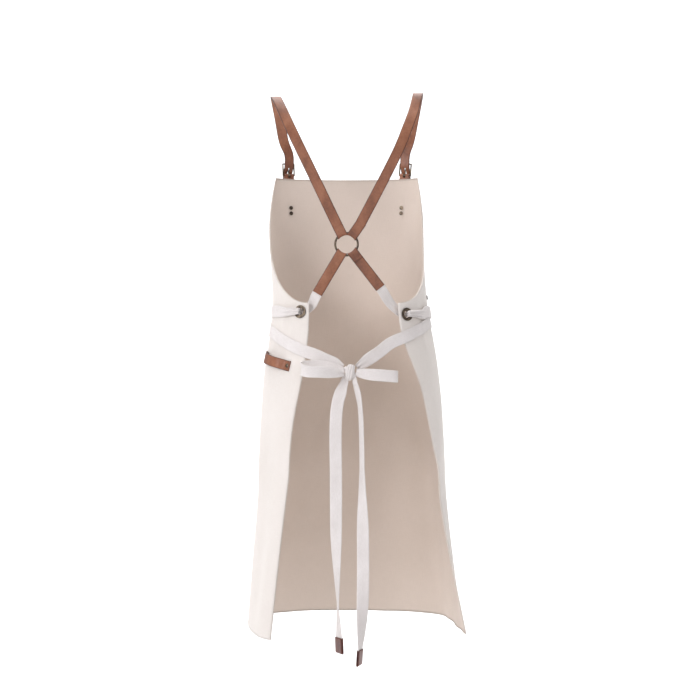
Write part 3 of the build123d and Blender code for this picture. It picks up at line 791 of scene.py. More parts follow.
class WornCanvas:
    """The canvas as it hangs on a wearer, as a table of points over its girth and its height.

    Places on it are (across, height): across runs from -1 at the left free edge over 0 at the front to +1 at the
    right free edge, and height is in millimetres.
    """

    bib_top = -150.0
    bib_share = 0.45
    wing_top = -405.0
    armhole_power = 2.1
    hem_front = -1036.0
    hem_dip = 8.0
    columns = 161
    rows = 141
    wing_turn = math.radians(62)
    skin = 0.6 * MM

    def __init__(self) -> None:
        """Works out the table from the level cuts."""
        self.across = np.linspace(-1, 1, self.columns)
        self.down = np.linspace(0, 1, self.rows)
        heights = np.linspace(-140, -1060, 231)
        middle = self.columns // 2
        cuts = {sign: np.array([self.level_cut(h, sign, middle + 1) for h in heights]) for sign in (-1, 1)}
        self.points = np.zeros((self.columns, self.rows, 3))
        for i, across in enumerate(self.across):
            sign = -1 if across < 0 else 1
            line = cuts[sign][:, abs(i - middle)]
            levels = self.top(across) + self.down * (self.hem(across) - self.top(across))
            self.points[i, :, 0] = np.interp(-levels, -heights, line[:, 0])
            self.points[i, :, 1] = np.interp(-levels, -heights, line[:, 1])
            self.points[i, :, 2] = levels
        self.points *= MM
        self.fold()
        self.refresh()

    def girth_values(self, height: float) -> np.ndarray:
        """Every value of the level cut at a height, eased over the neighbouring levels.

        Args:
            height: Height in millimetres.

        Returns:
            The eased values, in the order of the table.
        """
        table = np.array([(g.left, g.right, g.front, g.side, g.square, *g.left_edge, *g.right_edge)
                          for g in GIRTHS])
        marks = -np.array([g.height for g in GIRTHS], dtype=float)
        table = np.vstack([2 * table[0] - table[1], table, table[-1] + (table[-1] - table[-2]) * 0.5])
        marks = np.concatenate([[2 * marks[0] - marks[1]], marks, [marks[-1] + (marks[-1] - marks[-2]) * 0.5]])
        near = [-height + shift for shift in (-36, -18, 0, 18, 36)]
        return np.mean([[np.interp(n, marks, table[:, k]) for k in range(table.shape[1])] for n in near], axis=0)

    def level_cut(self, height: float, sign: int, count: int) -> np.ndarray:
        """Points of half a level cut, evenly spaced from the front middle to the free edge.

        Args:
            height: Height in millimetres.
            sign: -1 for the left half, +1 for the right.
            count: Number of points.

        Returns:
            The points.
        """
        left, right, front, side, square, *edges = self.girth_values(height)
        half = left if sign < 0 else right
        edge = edges[:2] if sign < 0 else edges[2:]
        turn = np.linspace(0, math.pi / 2, 60)
        x = half * np.sin(turn) ** (2 / square)
        y = side + (front - side) * np.maximum(np.cos(turn), 0) ** (2 / square)
        back_turn = np.linspace(0, self.wing_turn, 40)[1:]
        inward = (1 - np.cos(back_turn)) / (1 - math.cos(self.wing_turn))
        back = np.sin(back_turn) / math.sin(self.wing_turn)
        x = np.concatenate([x, half + (abs(edge[0]) - half) * inward])
        y = np.concatenate([y, side + (edge[1] - side) * back])
        line = np.stack([sign * x, y], axis=1)
        lengths = lengths_along(line)
        marks = np.linspace(0, lengths[-1], count)
        return np.stack([np.interp(marks, lengths, line[:, k]) for k in range(2)], axis=1)

    def top(self, across: float) -> float:
        """Height of the upper edge: bib top, armhole curve, back corner.

        Args:
            across: Place across, from -1 to 1.

        Returns:
            The height in millimetres.
        """
        s = max(0.0, (abs(across) - self.bib_share) / (1 - self.bib_share))
        return self.wing_top + (self.bib_top - self.wing_top) * (1 - s) ** self.armhole_power

    def hem(self, across: float) -> float:
        """Height of the hem."""
        return self.hem_front - self.hem_dip * across ** 2

    def fold(self) -> None:
        """Adds the soft hanging folds of the skirt and the drag of the cloth under the ties."""
        self.refresh()
        across = self.across[:, None]
        height = self.points[:, :, 2] / MM
        skirt = np.clip((-470 - height) / 420, 0, 1) ** 1.3
        wing = np.clip((np.abs(across) - 0.12) / 0.5, 0, 1)
        front = 1 - np.clip((np.abs(across) - 0.42) / 0.2, 0, 1)
        hang = np.sin(17.3 * across + 0.9 + 0.0016 * height) * 1.0 + np.sin(30.1 * across - 1.3) * 0.45
        lift = skirt * (0.4 + 0.6 * wing) * 3.6 * hang * (1 - 0.55 * front)
        waist = np.exp(-((height + 452) / 46.0) ** 2)
        lift += waist * (0.8 * np.sin(46 * across + 0.4) + 0.5 * np.sin(83 * across)) * (1 - 0.6 * front)
        chest = np.exp(-((height + 330) / 90.0) ** 2) * front
        lift += chest * 1.2 * np.sin(9 * across + 0.012 * height)
        near_edge = np.exp(-((1 - np.abs(across)) / 0.05) ** 2)
        lift *= 1 - 0.7 * near_edge * (height > -520)
        self.points = self.points + self.normals * (lift * MM)[:, :, None]

    def refresh(self) -> None:
        """Works out the outward normals of the table."""
        over = np.gradient(self.points, axis=0)
        under = np.gradient(self.points, axis=1)
        self.normals = unit(np.cross(over, under))

    def at(self, across: np.ndarray, height: np.ndarray, offset: object = 0.0) -> np.ndarray:
        """Points on the canvas, or off it.

        Args:
            across: Places across, -1 to 1.
            height: Heights in millimetres.
            offset: Distance outwards in millimetres.

        Returns:
            The points, in metres.
        """
        point, normal = self.sample(across, height)
        return point + normal * (np.asarray(offset, dtype=float) * MM)[..., None]

    def sample(self, across: np.ndarray, height: np.ndarray) -> tuple[np.ndarray, np.ndarray]:
        """Points and normals of the canvas at places on it.

        Args:
            across: Places across, from -1 to 1.
            height: Heights in millimetres.

        Returns:
            The points and their normals.
        """
        across = np.asarray(across, dtype=float)
        height = np.asarray(height, dtype=float)
        s = np.clip((np.abs(across) - self.bib_share) / (1 - self.bib_share), 0.0, 1.0)
        top = self.wing_top + (self.bib_top - self.wing_top) * (1 - s) ** self.armhole_power
        hem = self.hem_front - self.hem_dip * across ** 2
        u = np.clip((across + 1) / 2 * (self.columns - 1), 0, self.columns - 1.0001)
        v = np.clip((top - height) / (top - hem) * (self.rows - 1), 0, self.rows - 1.0001)
        i, j = u.astype(int), v.astype(int)
        a, b = (u - i)[..., None], (v - j)[..., None]
        blends = []
        for table in (self.points, self.normals):
            low = table[i, j] * (1 - a) + table[i + 1, j] * a
            high = table[i, j + 1] * (1 - a) + table[i + 1, j + 1] * a
            blends.append(low * (1 - b) + high * b)
        return blends[0], unit(blends[1])

    def inset(self, places: np.ndarray, distances: Sequence[float], sign: float) -> np.ndarray:
        """Places at given distances from a line on the canvas, measured over its surface.

        Args:
            places: The line's places, (across, height) rows.
            distances: Distances in millimetres.
            sign: +1 to step to the left of the line's run seen from outside, -1 to its right.

        Returns:
            An array of places: one row for each place, one column for each distance.
        """
        step_a, step_h = 1e-3, 0.5
        a, h = places[:, 0], places[:, 1]
        point, normal = self.sample(a, h)
        by_a = (self.at(a + step_a, h) - self.at(a - step_a, h)) / (2 * step_a)
        by_h = (self.at(a, h + step_h) - self.at(a, h - step_h)) / (2 * step_h)
        run = unit(np.gradient(point, axis=0))
        inward = np.cross(normal, run) * sign
        result = np.zeros((len(places), len(distances), 2))
        for k in range(len(places)):
            basis = np.stack([by_a[k], by_h[k]], axis=1)
            move = np.linalg.lstsq(basis, inward[k], rcond=None)[0]
            for m, distance in enumerate(distances):
                result[k, m] = places[k] + move * distance * MM
        return result

    def edge(self, name: str) -> np.ndarray:
        """Places along one edge of the canvas.

        Args:
            name: "top", "hem", "left" or "right".

        Returns:
            Places as (across, height) rows.
        """
        if name == "top":
            return np.array([(a, self.top(a)) for a in self.across])
        if name == "hem":
            return np.array([(a, self.hem(a)) for a in self.across])
        across = -1.0 if name == "left" else 1.0
        return np.array([(across, h) for h in np.linspace(self.top(across), self.hem(across), self.rows)])


def layered(name: str, outer: np.ndarray, inner: np.ndarray, material: bpy.types.Material, flat: np.ndarray,
            keep: Optional[np.ndarray] = None) -> bpy.types.Object:
    """A closed skin between two matching grids of points, with walls round its edges and holes.

    Args:
        name: The piece's name.
        outer: Grid of outer points.
        inner: Grid of inner points.
        material: Its material.
        flat: Flat position of each grid point, in metres.
        keep: Which of the grid's cells are there.

    Returns:
        The piece.
    """
    columns, rows = outer.shape[:2]
    keep = np.ones((columns - 1, rows - 1), dtype=bool) if keep is None else keep
    number = np.arange(columns * rows).reshape(columns, rows)
    lower = columns * rows
    faces = []
    for i, j in np.argwhere(keep):
        a, b, c, d = number[i, j], number[i + 1, j], number[i + 1, j + 1], number[i, j + 1]
        faces.append((a, d, c, b))
        faces.append((lower + a, lower + b, lower + c, lower + d))
    there = np.pad(keep, 1)
    for i, j in np.argwhere(keep):
        corners = number[i, j], number[i + 1, j], number[i + 1, j + 1], number[i, j + 1]
        beside = there[i + 1, j], there[i + 2, j + 1], there[i + 1, j + 2], there[i, j + 1]
        for k, other in enumerate(beside):
            if not other:
                a, b = corners[k], corners[(k + 1) % 4]
                faces.append((a, b, lower + b, lower + a))
    used = sorted({v for f in faces for v in f})
    index = {v: k for k, v in enumerate(used)}
    verts = np.concatenate([outer.reshape(-1, 3), inner.reshape(-1, 3)])[used]
    flats = np.concatenate([flat.reshape(-1, 2), flat.reshape(-1, 2)])[used]
    obj = new_piece(name, verts, [[index[v] for v in f] for f in faces], material, flats)
    outward_faces(obj)
    # Marks the inner skin's vertices, where the canvas material paints shade.
    inner_shade_mask = obj.data.attributes.new("body_side_shade", "FLOAT", "POINT")
    inner_shade_mask.data.foreach_set("value", np.array([float(v >= lower) for v in used], dtype=np.float32))
    return obj


@dataclass
class ClothSettler:
    """Lets the skirt settle under its own weight: a cloth simulation on a coarse copy of the canvas."""

    canvas: WornCanvas
    step: int = 2
    frames: int = 22
    spare: float = 0.012
    limit: float = 0.007

    def run(self) -> None:
        """Simulates, then adds the capped, eased movement to the canvas's table."""
        c = self.canvas
        grid = c.points[::self.step, ::self.step]
        columns, rows = grid.shape[:2]
        number = np.arange(columns * rows).reshape(columns, rows)
        faces = [(number[i, j], number[i, j + 1], number[i + 1, j + 1], number[i + 1, j])
                 for i in range(columns - 1) for j in range(rows - 1)]
        mesh = bpy.data.meshes.new("settling")
        mesh.from_pydata([tuple(p) for p in grid.reshape(-1, 3)], [], [tuple(int(v) for v in f) for f in faces])
        cloth = bpy.data.objects.new("settling", mesh)
        bpy.context.scene.collection.objects.link(cloth)
        height = grid[:, :, 2] / MM
        hold = np.clip(1 - (-500 - height) / 240, 0.06, 1)
        group = cloth.vertex_groups.new(name="held")
        for vertex, weight in enumerate(hold.ravel()):
            group.add([vertex], float(weight), "REPLACE")
        modifier = cloth.modifiers.new("cloth", "CLOTH")
        settings = modifier.settings
        settings.quality = 6
        settings.mass = 0.35
        settings.tension_stiffness = 25
        settings.compression_stiffness = 25
        settings.shear_stiffness = 8
        settings.bending_stiffness = 4.0
        settings.vertex_group_mass = "held"
        settings.pin_stiffness = 0.6
        settings.shrink_min = -self.spare
        modifier.collision_settings.use_self_collision = False
        modifier.collision_settings.use_collision = False
        scene = bpy.context.scene
        for moment in range(1, self.frames + 1):
            scene.frame_set(moment)
        graph = bpy.context.evaluated_depsgraph_get()
        settled = np.array([tuple(v.co) for v in cloth.evaluated_get(graph).data.vertices]).reshape(grid.shape)
        bpy.data.objects.remove(cloth)
        scene.frame_set(1)
        self.add(settled - grid)

    def add(self, move: np.ndarray) -> None:
        """Adds a coarse table of movements to the canvas, each held to the limit.

        Args:
            move: Movement of each point of the coarse table.
        """
        c = self.canvas
        size = np.linalg.norm(move, axis=2, keepdims=True)
        move = move * np.minimum(1.0, self.limit / np.maximum(size, 1e-9))
        coarse_i = np.arange(0, c.columns, self.step)
        coarse_j = np.arange(0, c.rows, self.step)
        fine = np.zeros_like(c.points)
        for k in range(3):
            by_row = np.array([np.interp(np.arange(c.rows), coarse_j, line) for line in move[:, :, k]])
            fine[:, :, k] = np.array([np.interp(np.arange(c.columns), coarse_i, line) for line in by_row.T]).T
        for _ in range(3):
            fine[1:-1] = (fine[:-2] + 2 * fine[1:-1] + fine[2:]) / 4
            fine[:, 1:-1] = (fine[:, :-2] + 2 * fine[:, 1:-1] + fine[:, 2:]) / 4
        LOG.info("cloth settled by %.1f mm at most", np.linalg.norm(fine, axis=2).max() / MM)
        c.points = c.points + fine
        c.refresh()


@dataclass
class ApronBody:
    """The canvas panel with its hems, pockets and stitching.

    Attributes:
        canvas: The canvas as it hangs on the wearer.
        finishes: The materials.
        stitches: The stitching tree.
    """

    canvas: WornCanvas
    finishes: Finishes
    stitches: StitchTree
    hem_width: float = 12.0
    hem_thickness: float = 1.0
    pocket_top: float = -520.0
    pocket_height: float = 200.0
    pocket_share: float = 0.40
    pocket_bulge: float = 12.0
    chest_top: float = -215.0
    chest_height: float = 130.0
    chest_share: float = 0.17
    chest_bulge: float = 8.0
    eyelet_hole: float = 8.7
    seams: list[np.ndarray] = field(default_factory=list)

    def flat_places(self) -> np.ndarray:
        """Flat position of each point of the table: distance round the girth and down the cloth.

        Returns:
            A table of flat positions in metres.
        """
        points = self.canvas.points
        round_girth = np.cumsum(np.linalg.norm(np.diff(points, axis=0, prepend=points[:1]), axis=2), axis=0)
        middle = round_girth[self.canvas.columns // 2]
        return np.stack([round_girth - middle[None, :], points[:, :, 2]], axis=2)

    def panel(self, eyelets: Sequence[tuple[Vector, Vector]]) -> bpy.types.Object:
        """The canvas itself, with round holes for the eyelets.

        Args:
            eyelets: Middle and outward direction of each eyelet.

        Returns:
            The panel.
        """
        c = self.canvas
        points = c.points.copy()
        keep = np.ones((c.columns - 1, c.rows - 1), dtype=bool)
        centre = (points[:-1, :-1] + points[1:, :-1] + points[:-1, 1:] + points[1:, 1:]) / 4
        hole = self.eyelet_hole * MM
        for middle, axis in eyelets:
            middle, axis = np.array(middle), np.array(axis)
            away = centre - middle
            radial = np.linalg.norm(away - (away @ axis)[..., None] * axis, axis=2)
            keep &= ~((radial < hole) & (np.abs(away @ axis) < 0.03))
            away = points - middle
            depth = (away @ axis)[..., None]
            flatwise = away - depth * axis
            radial = np.linalg.norm(flatwise, axis=2, keepdims=True)
            near = (radial < hole + 2.4 * MM) & (np.abs(depth) < 0.03)
            points = np.where(near, middle + depth * axis + flatwise / np.maximum(radial, 1e-9) * hole, points)
        outer = points + c.normals * c.skin
        inner = points - c.normals * c.skin
        obj = layered("canvas_body", outer, inner, self.finishes.canvas, self.flat_places(), keep)
        return settle(obj, "canvas", "canvas_panel")

    def on_places(self, name: str, places: np.ndarray, near: np.ndarray, far: np.ndarray,
                  nodes: Sequence[str]) -> bpy.types.Object:
        """A layer of canvas lying over a grid of places.

        Args:
            name: The piece's name.
            places: Grid of (across, height).
            near: Offset of the side nearer the panel, in millimetres.
            far: Offset of the other side.
            nodes: CAD nodes that it stands for.

        Returns:
            The piece.
        """
        outer = self.canvas.at(places[..., 0], places[..., 1], far)
        inner = self.canvas.at(places[..., 0], places[..., 1], near)
        girth = 0.41 * places[..., 0]
        flat = np.stack([girth + 0.013, places[..., 1] * MM + 0.007], axis=2)
        return settle(layered(name, outer, inner, self.finishes.canvas, flat), "canvas", *nodes)

    def hem(self, name: str, edge: str, sign: float, span: tuple[float, float],
            nodes: Sequence[str]) -> bpy.types.Object:
        """A folded hem on the body side of one edge, and its two rows of stitches.

        Args:
            name: The piece's name.
            edge: Which edge.
            sign: Side of the edge on which the cloth lies.
            span: First and last share of the edge that it covers.
            nodes: CAD nodes that it stands for.

        Returns:
            The hem.
        """
        line = self.canvas.edge(edge)
        first, last = (int(share * (len(line) - 1)) for share in span)
        line = line[first:last + 1]
        distances = [0.1, 0.5, 2.0, 6.0, 10.0, self.hem_width - 0.5, self.hem_width]
        swell = np.array([0.55, 0.9, 1.0, 1.0, 1.0, 0.85, 0.4])
        places = self.canvas.inset(line, distances, sign)
        skin = self.canvas.skin / MM
        far = -(skin + 0.05 + self.hem_thickness * swell) * np.ones(places.shape[:2])
        near = -(skin - 0.1) * np.ones(places.shape[:2])
        piece = self.on_places(name, places, near, far, nodes)
        for distance in (self.hem_width - 2.0,):
            row = self.canvas.inset(line, [distance], sign)[:, 0]
            self.seams.append(self.canvas.at(row[:, 0], row[:, 1], skin + 0.12))
            self.seams.append(self.canvas.at(row[:, 0], row[:, 1], -(skin + self.hem_thickness + 0.12)))
        return piece

    def hems(self) -> list[bpy.types.Object]:
        """Every hem.

        Returns:
            The hem pieces.
        """
        bib_first = (1 - self.canvas.bib_share) / 2
        bib_last = 1 - bib_first
        return [
            self.hem("hem_bottom", "hem", 1, (0.0, 1.0), ["bottom_hem"]),
            self.hem("hem_bib", "top", -1, (bib_first, bib_last), ["bib_top_hem"]),
            self.hem("hem_left_armhole", "top", -1, (0.012, bib_first), ["left_armhole_hem"]),
            self.hem("hem_right_armhole", "top", -1, (bib_last, 0.988), ["right_armhole_hem"]),
            self.hem("hem_left_back", "left", 1, (0.075, 1.0), ["left_back_hem"]),
            self.hem("hem_right_back", "right", -1, (0.08, 1.0), ["right_back_hem"]),
        ]

    def pocket(self, name: str, node: str, share: float, top: float, height: float, bulge: float,
               dividers: Sequence[float]) -> list[bpy.types.Object]:
        """A patch pocket with a hemmed, open mouth.

        Args:
            name: The piece's name.
            node: CAD node that it stands for.
            share: Half width as a share of the half girth.
            top: Height of the mouth.
            height: Height of the pocket.
            bulge: How far the mouth stands open.
            dividers: Shares of the width at which it is sewn down into compartments.

        Returns:
            The pocket and its mouth hem.
        """
        across = np.linspace(-share, share, 73)
        down = np.linspace(0, 1, 41)
        grid_a, grid_d = np.meshgrid(across, down, indexing="ij")
        places = np.stack([grid_a, top - height * grid_d], axis=2)

        def lift(a: np.ndarray, d: np.ndarray) -> np.ndarray:
            """How far the pocket stands off the panel."""
            swell = bulge * (1 - (a / share) ** 2) * (1 - d) ** 0.7
            for place in dividers:
                swell = swell * (1 - 0.75 * np.exp(-((a / share - place) / 0.12) ** 2))
            return swell

        near = self.canvas.skin / MM + 0.15 + lift(grid_a, grid_d)
        main = self.on_places(name, places, near, near + 1.0, [node])
        band_d = np.linspace(0, 0.1, 7)
        grid_a, grid_d = np.meshgrid(across, band_d, indexing="ij")
        places = np.stack([grid_a, top - height * grid_d - 0.2], axis=2)
        near = self.canvas.skin / MM + 0.15 + lift(grid_a, grid_d) + 1.0
        swell = np.array([0.5, 0.8, 0.8, 0.8, 0.8, 0.8, 0.35])[None, :]
        mouth = self.on_places(name + "_mouth", places, near - 0.2, near + swell, [])
        self.sew_pocket(share, top, height, lift, dividers)
        return [main, mouth]

    def sew_pocket(self, share: float, top: float, height: float, lift: Callable,
                   dividers: Sequence[float]) -> None:
        """Adds a pocket's rows of stitches: two round the sides and bottom, one under the mouth, one each divider.

        Args:
            share: Half width as a share of the half girth.
            top: Height of the mouth.
            height: Depth of the pocket.
            lift: How far the pocket stands off at a place.
            dividers: Shares of the width that are sewn down.
        """
        surface = self.canvas.skin / MM + 1.3
        for inset in (3.0, 8.0):
            side = share - inset / 400
            downs = np.linspace(0.01, 1 - inset / height, 60)
            row = [(-side, d) for d in downs] + [(a, downs[-1]) for a in np.linspace(-side, side, 90)[1:-1]]
            row += [(side, d) for d in reversed(downs)]
            row = np.array(row)
            raised = surface + lift(row[:, 0], row[:, 1])
            self.seams.append(self.canvas.at(row[:, 0], top - height * row[:, 1], raised))
        mouth_a = np.linspace(-share * 0.985, share * 0.985, 120)
        mouth_d = np.full_like(mouth_a, 0.088)
        raised = surface + 0.8 + lift(mouth_a, mouth_d)
        self.seams.append(self.canvas.at(mouth_a, top - height * mouth_d, raised))
        for place in dividers:
            d = np.linspace(0.11, 0.96, 60)
            a = np.full_like(d, place * share)
            self.seams.append(self.canvas.at(a, top - height * d, surface + lift(a, d)))

    def build(self, eyelets: Sequence[tuple[Vector, Vector]]) -> bpy.types.Object:
        """Args:
            eyelets: Middle and outward direction of each eyelet.

        Returns:
            The panel.
        """
        panel = self.panel(eyelets)
        extras = self.hems()
        extras += self.pocket("pocket_waist", "waist_pocket", self.pocket_share, self.pocket_top,
                              self.pocket_height, self.pocket_bulge, (0.0,))
        extras += self.pocket("pocket_chest", "chest_pocket", self.chest_share, self.chest_top,
                              self.chest_height, self.chest_bulge, (-0.55,))
        sewn = self.stitches.sew("canvas_stitches", self.seams, self.finishes.thread)
        extras.append(settle(sewn, "canvas"))
        tabs = [side.node("bib_tab") for side in Side]
        return panel


# ---------------------------------------------------------------------------------------------------- straps
RING_CENTRE = mm(0, -80, -294)
RING_RADIUS = 21.5
STRAP_WIDTH = 20 * MM
STRAP_THICKNESS = 2.4 * MM
STRAP_ANGLES = {Side.LEFT: 116.0, Side.RIGHT: 55.5}
LOWER_ANGLES = {Side.LEFT: 239.3, Side.RIGHT: 307.8}
LOWER_LENGTHS = {Side.LEFT: 109.0, Side.RIGHT: 105.0}
BACK_ROUTES = {   # middle of each shoulder strap, from the ring up the back and over the shoulder
    Side.LEFT: [(-41, -80, -210), (-64, -77, -161), (-87.5, -66, -112), (-108, -50, -68), (-126, -28, -27),
                (-138, -4, -2), (-139, 24, -5), (-134, 56, -33), (-127, 86, -74)],
    Side.RIGHT: [(50, -80, -210), (70, -77, -172), (99, -65, -113), (115, -50, -73), (130, -28, -31),
                 (139, -4, 4), (140, 24, 0), (135, 56, -30), (127, 86, -72)],
}
BUCKLE_ROUTE = [(50, 2.0), (27, 2.0), (20, 5.5), (9, 10.8), (-4, 9.6), (-18, 7.2), (-48, 7.2)]
BUCKLE_SHARE = 0.35
TAB_LENGTH = 75.0


def ring_point(angle: float, radius: float, out: float = 0.0) -> Vector:
    """A point in the ring's plane, by angle and radius in millimetres, moved out of the plane along +Y."""
    turn = math.radians(angle)
    return RING_CENTRE + mm(radius * math.cos(turn), out, radius * math.sin(turn))


def outward(point: Vector) -> Vector:
    """Away from the wearer: level on the back and chest, turning upwards over the shoulder."""
    return Vector((0, point.y - 0.015, max(0.0, point.z + 0.09))).normalized()


@dataclass(frozen=True)
class BibCorner:
    """Local frame of a bib corner: x across, y up along the canvas, z away from the wearer."""

    origin: Vector
    across: Vector
    up: Vector
    out: Vector

    @classmethod
    def of(cls, side: Side) -> "BibCorner":
        """The frame of one side's corner, found from the bib's flat stretch of the upper level cuts.

        Args:
            side: Which side.

        Returns:
            The local frame.
        """
        across_share = BUCKLE_SHARE * side.sign
        top = Vector(plain_canvas_point(across_share, -150.0))
        low = Vector(plain_canvas_point(across_share, -150.0 - TAB_LENGTH))
        up = (top - low).normalized()
        right, left = (Vector(plain_canvas_point(across_share + step, -190.0)) for step in (0.02, -0.02))
        beside = right - left
        out = beside.cross(-up).normalized()
        return cls(top, up.cross(out), up, out)

    def place(self, across: float, up: float, out: float) -> Vector:
        """A point in millimetres in this frame."""
        return self.origin + self.across * across * MM + self.up * up * MM + self.out * out * MM


def plain_canvas_point(across: float, height: float) -> Point:
    """A point of the bib's flat stretch, straight from the upper level cuts.

    Args:
        across: Place across, as a share of the half girth.
        height: Height in millimetres.

    Returns:
        The point in metres.
    """
    low, high = GIRTHS[1], GIRTHS[0]
    share = (height - low.height) / (high.height - low.height)
    values = []
    for key in ("left", "right", "front", "side", "square"):
        values.append(getattr(low, key) + (getattr(high, key) - getattr(low, key)) * share)
    left, right, front, side, square = values
    half = left if across < 0 else right
    edge = [low_value + (high_value - low_value) * share for low_value, high_value in
            zip(*((g.left_edge if across < 0 else g.right_edge) for g in (low, high)))]
    turn = np.linspace(0, math.pi / 2, 200)
    x = half * np.sin(turn) ** (2 / square)
    y = side + (front - side) * np.maximum(np.cos(turn), 0) ** (2 / square)
    full_turn = WornCanvas.wing_turn
    back_turn = np.linspace(0, full_turn, 100)[1:]
    x = np.concatenate([x, half + (abs(edge[0]) - half) * (1 - np.cos(back_turn)) / (1 - math.cos(full_turn))])
    y = np.concatenate([y, side + (edge[1] - side) * np.sin(back_turn) / math.sin(full_turn)])
    lengths = lengths_along(np.stack([x, y], axis=1))
    mark = abs(across) * lengths[-1]
    sign = -1 if across < 0 else 1
    return (sign * float(np.interp(mark, lengths, x)) * MM, float(np.interp(mark, lengths, y)) * MM, height * MM)




@dataclass
class StrapHarness:
    """The leather straps: two over the shoulders and two short ones down to the waist ties."""

    finishes: Finishes
    stitches: StitchTree
    seams: list[np.ndarray] = field(default_factory=list)
    wrap_radius: float = 2.0 + 0.35 + 1.2
    crease: float = 34.0

    def wrap(self, angle: float, fold: int, fold_end: float) -> tuple[list[Vector], list[Vector], list[float]]:
        """Leather from its folded-back end, round the ring's wire, to the start of the strap.

        Args:
            angle: Direction of the strap from the ring's middle, in degrees.
            fold: +1 where the end is folded back on the body side, -1 on the outside.
            fold_end: Distance of the folded end from the ring's middle.

        Returns:
            The middle line, its facing directions, and how far each point leans with the ring.
        """
        points, facing, lean = [], [], []
        radial = (ring_point(angle, 1) - ring_point(angle, 0)).normalized()
        far = Vector((0, fold, 0))
        for radius in np.linspace(fold_end, 29, 9):
            gap = 1.35 + 2.2 * max(0.0, (36 - radius) / 14) ** 2
            points.append(ring_point(angle, radius, fold * gap))
            facing.append(far)
            lean.append(max(0.0, 1 - (radius - RING_RADIUS) / 13))
        for step in range(13):
            turn = math.pi / 2 + math.pi * step / 12
            points.append(ring_point(angle, RING_RADIUS + self.wrap_radius * math.cos(turn),
                                     fold * self.wrap_radius * math.sin(turn)))
            facing.append(radial * math.cos(turn) + far * math.sin(turn))
            lean.append(1.0)
        for radius in np.linspace(29, 46, 8):
            gap = 1.35 + 2.2 * max(0.0, (36 - radius) / 14) ** 2
            points.append(ring_point(angle, radius, -fold * gap))
            facing.append(-far)
            lean.append(max(0.0, 1 - (radius - RING_RADIUS) / 13))
        return points, facing, lean

    def box_stitch(self, angle: float, low: float, high: float, out: float) -> None:
        """Adds a rectangle of stitches on both faces of a strap.

        Args:
            angle: Direction of the strap.
            low: Distance of the nearer row from the ring's middle, in millimetres.
            high: Distance of the farther row.
            out: Distance of the thread from the strap's middle.
        """
        half = STRAP_WIDTH / 2 - 2.6 * MM
        radial = (ring_point(angle, 1) - ring_point(angle, 0)).normalized()
        beside = radial.cross(Vector((0, 1, 0)))
        for level in (out, -out):
            corners = [ring_point(angle, r, level) + beside * half * s
                       for r, s in ((low, -1), (low, 1), (high, 1), (high, -1), (low, -1))]
            rows = np.array([tuple(c) for c in corners])
            self.seams.append(evenly(rows, 0.001)[0])

    def shoulder_strap(self, side: Side) -> bpy.types.Object:
        """One shoulder strap, from the ring over the shoulder and through the buckle to its pointed end.

        Args:
            side: Which side.

        Returns:
            The strap.
        """
        fold = -1 if side is Side.LEFT else 1
        angle = STRAP_ANGLES[side]
        fold_end = 37.0 if fold < 0 else 50.0
        points, facing, lean = self.wrap(angle, fold, fold_end)
        corner = BibCorner.of(side)
        route = [points[-2], points[-1]] + [mm(*p) for p in BACK_ROUTES[side][1:]]
        route += [corner.place(0, up, out) for up, out in BUCKLE_ROUTE]
        line = smooth_line(route, 10)[10:]
        line = evenly(line, 0.0022)[0]
        last_back = mm(*BACK_ROUTES[side][-1])
        turn = int(np.argmin(np.linalg.norm(line - np.array(last_back), axis=1)))
        outwards = []
        for k, point in enumerate(line):
            share = min(1.0, max(0.0, (k - turn + 4) / 14))
            outwards.append((outward(Vector(point)) * (1 - share) + corner.out * share).normalized())
        points = np.array([tuple(p) for p in points[:-1]] + [tuple(p) for p in line])
        sign = 1 if fold > 0 else -1
        facing = np.array([tuple(f) for f in facing[:-1]] + [tuple(f * sign) for f in outwards])
        lean = np.array(lean[:-1] + [0.0] * len(line))
        to_end = lengths_along(points[::-1])[::-1]
        width = STRAP_WIDTH * np.sqrt(np.clip(1 - np.clip(1 - to_end / 0.009, 0, 1) ** 2 * 0.86, 0, 1))
        inward = np.array(tuple(ring_point(angle, 0) - ring_point(angle, 1)))
        ribbon = Ribbon(points, facing, width, STRAP_THICKNESS, sag=lean, sag_axis=unit(inward))
        obj = ribbon.build(side.node("strap"), self.finishes.leather)
        self.punch(obj, corner)
        self.box_stitch(angle, self.crease, min(fold_end, 50) - 2.5 if fold > 0 else self.crease + 0.01, 2.75)
        return settle(obj, "strap_leather", side.node("shoulder_strap"))

    def punch(self, strap: bpy.types.Object, corner: BibCorner) -> None:
        """Cuts the prong's slot and the adjusting holes.

        Args:
            strap: The strap.
            corner: The bib corner's frame.
        """
        cutter = bmesh.new()
        cuts = [(3.4, 23.2, 3.4)]   # low end, high end and width of the prong's slot, then the round holes
        cuts += [(up - 1.5, up + 1.5, 3.0) for up in (-14, -40)]
        for low, high, width in cuts:
            low, high = low + width / 2, high - width / 2
            outline = []
            for step in range(9):
                turn = math.pi * step / 8
                outline.append((width / 2 * math.cos(turn), high + width / 2 * math.sin(turn)))
            for step in range(9):
                turn = math.pi + math.pi * step / 8
                outline.append((width / 2 * math.cos(turn), low + width / 2 * math.sin(turn)))
            under = [cutter.verts.new(corner.place(x, y, -6)) for x, y in outline]
            over = [cutter.verts.new(corner.place(x, y, 20)) for x, y in outline]
            cutter.faces.new(list(reversed(under)))
            cutter.faces.new(over)
            for k in range(len(outline)):
                n = (k + 1) % len(outline)
                cutter.faces.new((under[k], under[n], over[n], over[k]))
        bmesh.ops.recalc_face_normals(cutter, faces=cutter.faces)
        mesh = bpy.data.meshes.new("punch")
        cutter.to_mesh(mesh)
        cutter.free()
        tool = bpy.data.objects.new("punch", mesh)
        bpy.context.scene.collection.objects.link(tool)
        modifier = strap.modifiers.new("punch", "BOOLEAN")
        modifier.operation = "DIFFERENCE"
        modifier.solver = "EXACT"
        modifier.object = tool
        apply_modifiers(strap)
        bpy.data.objects.remove(tool)

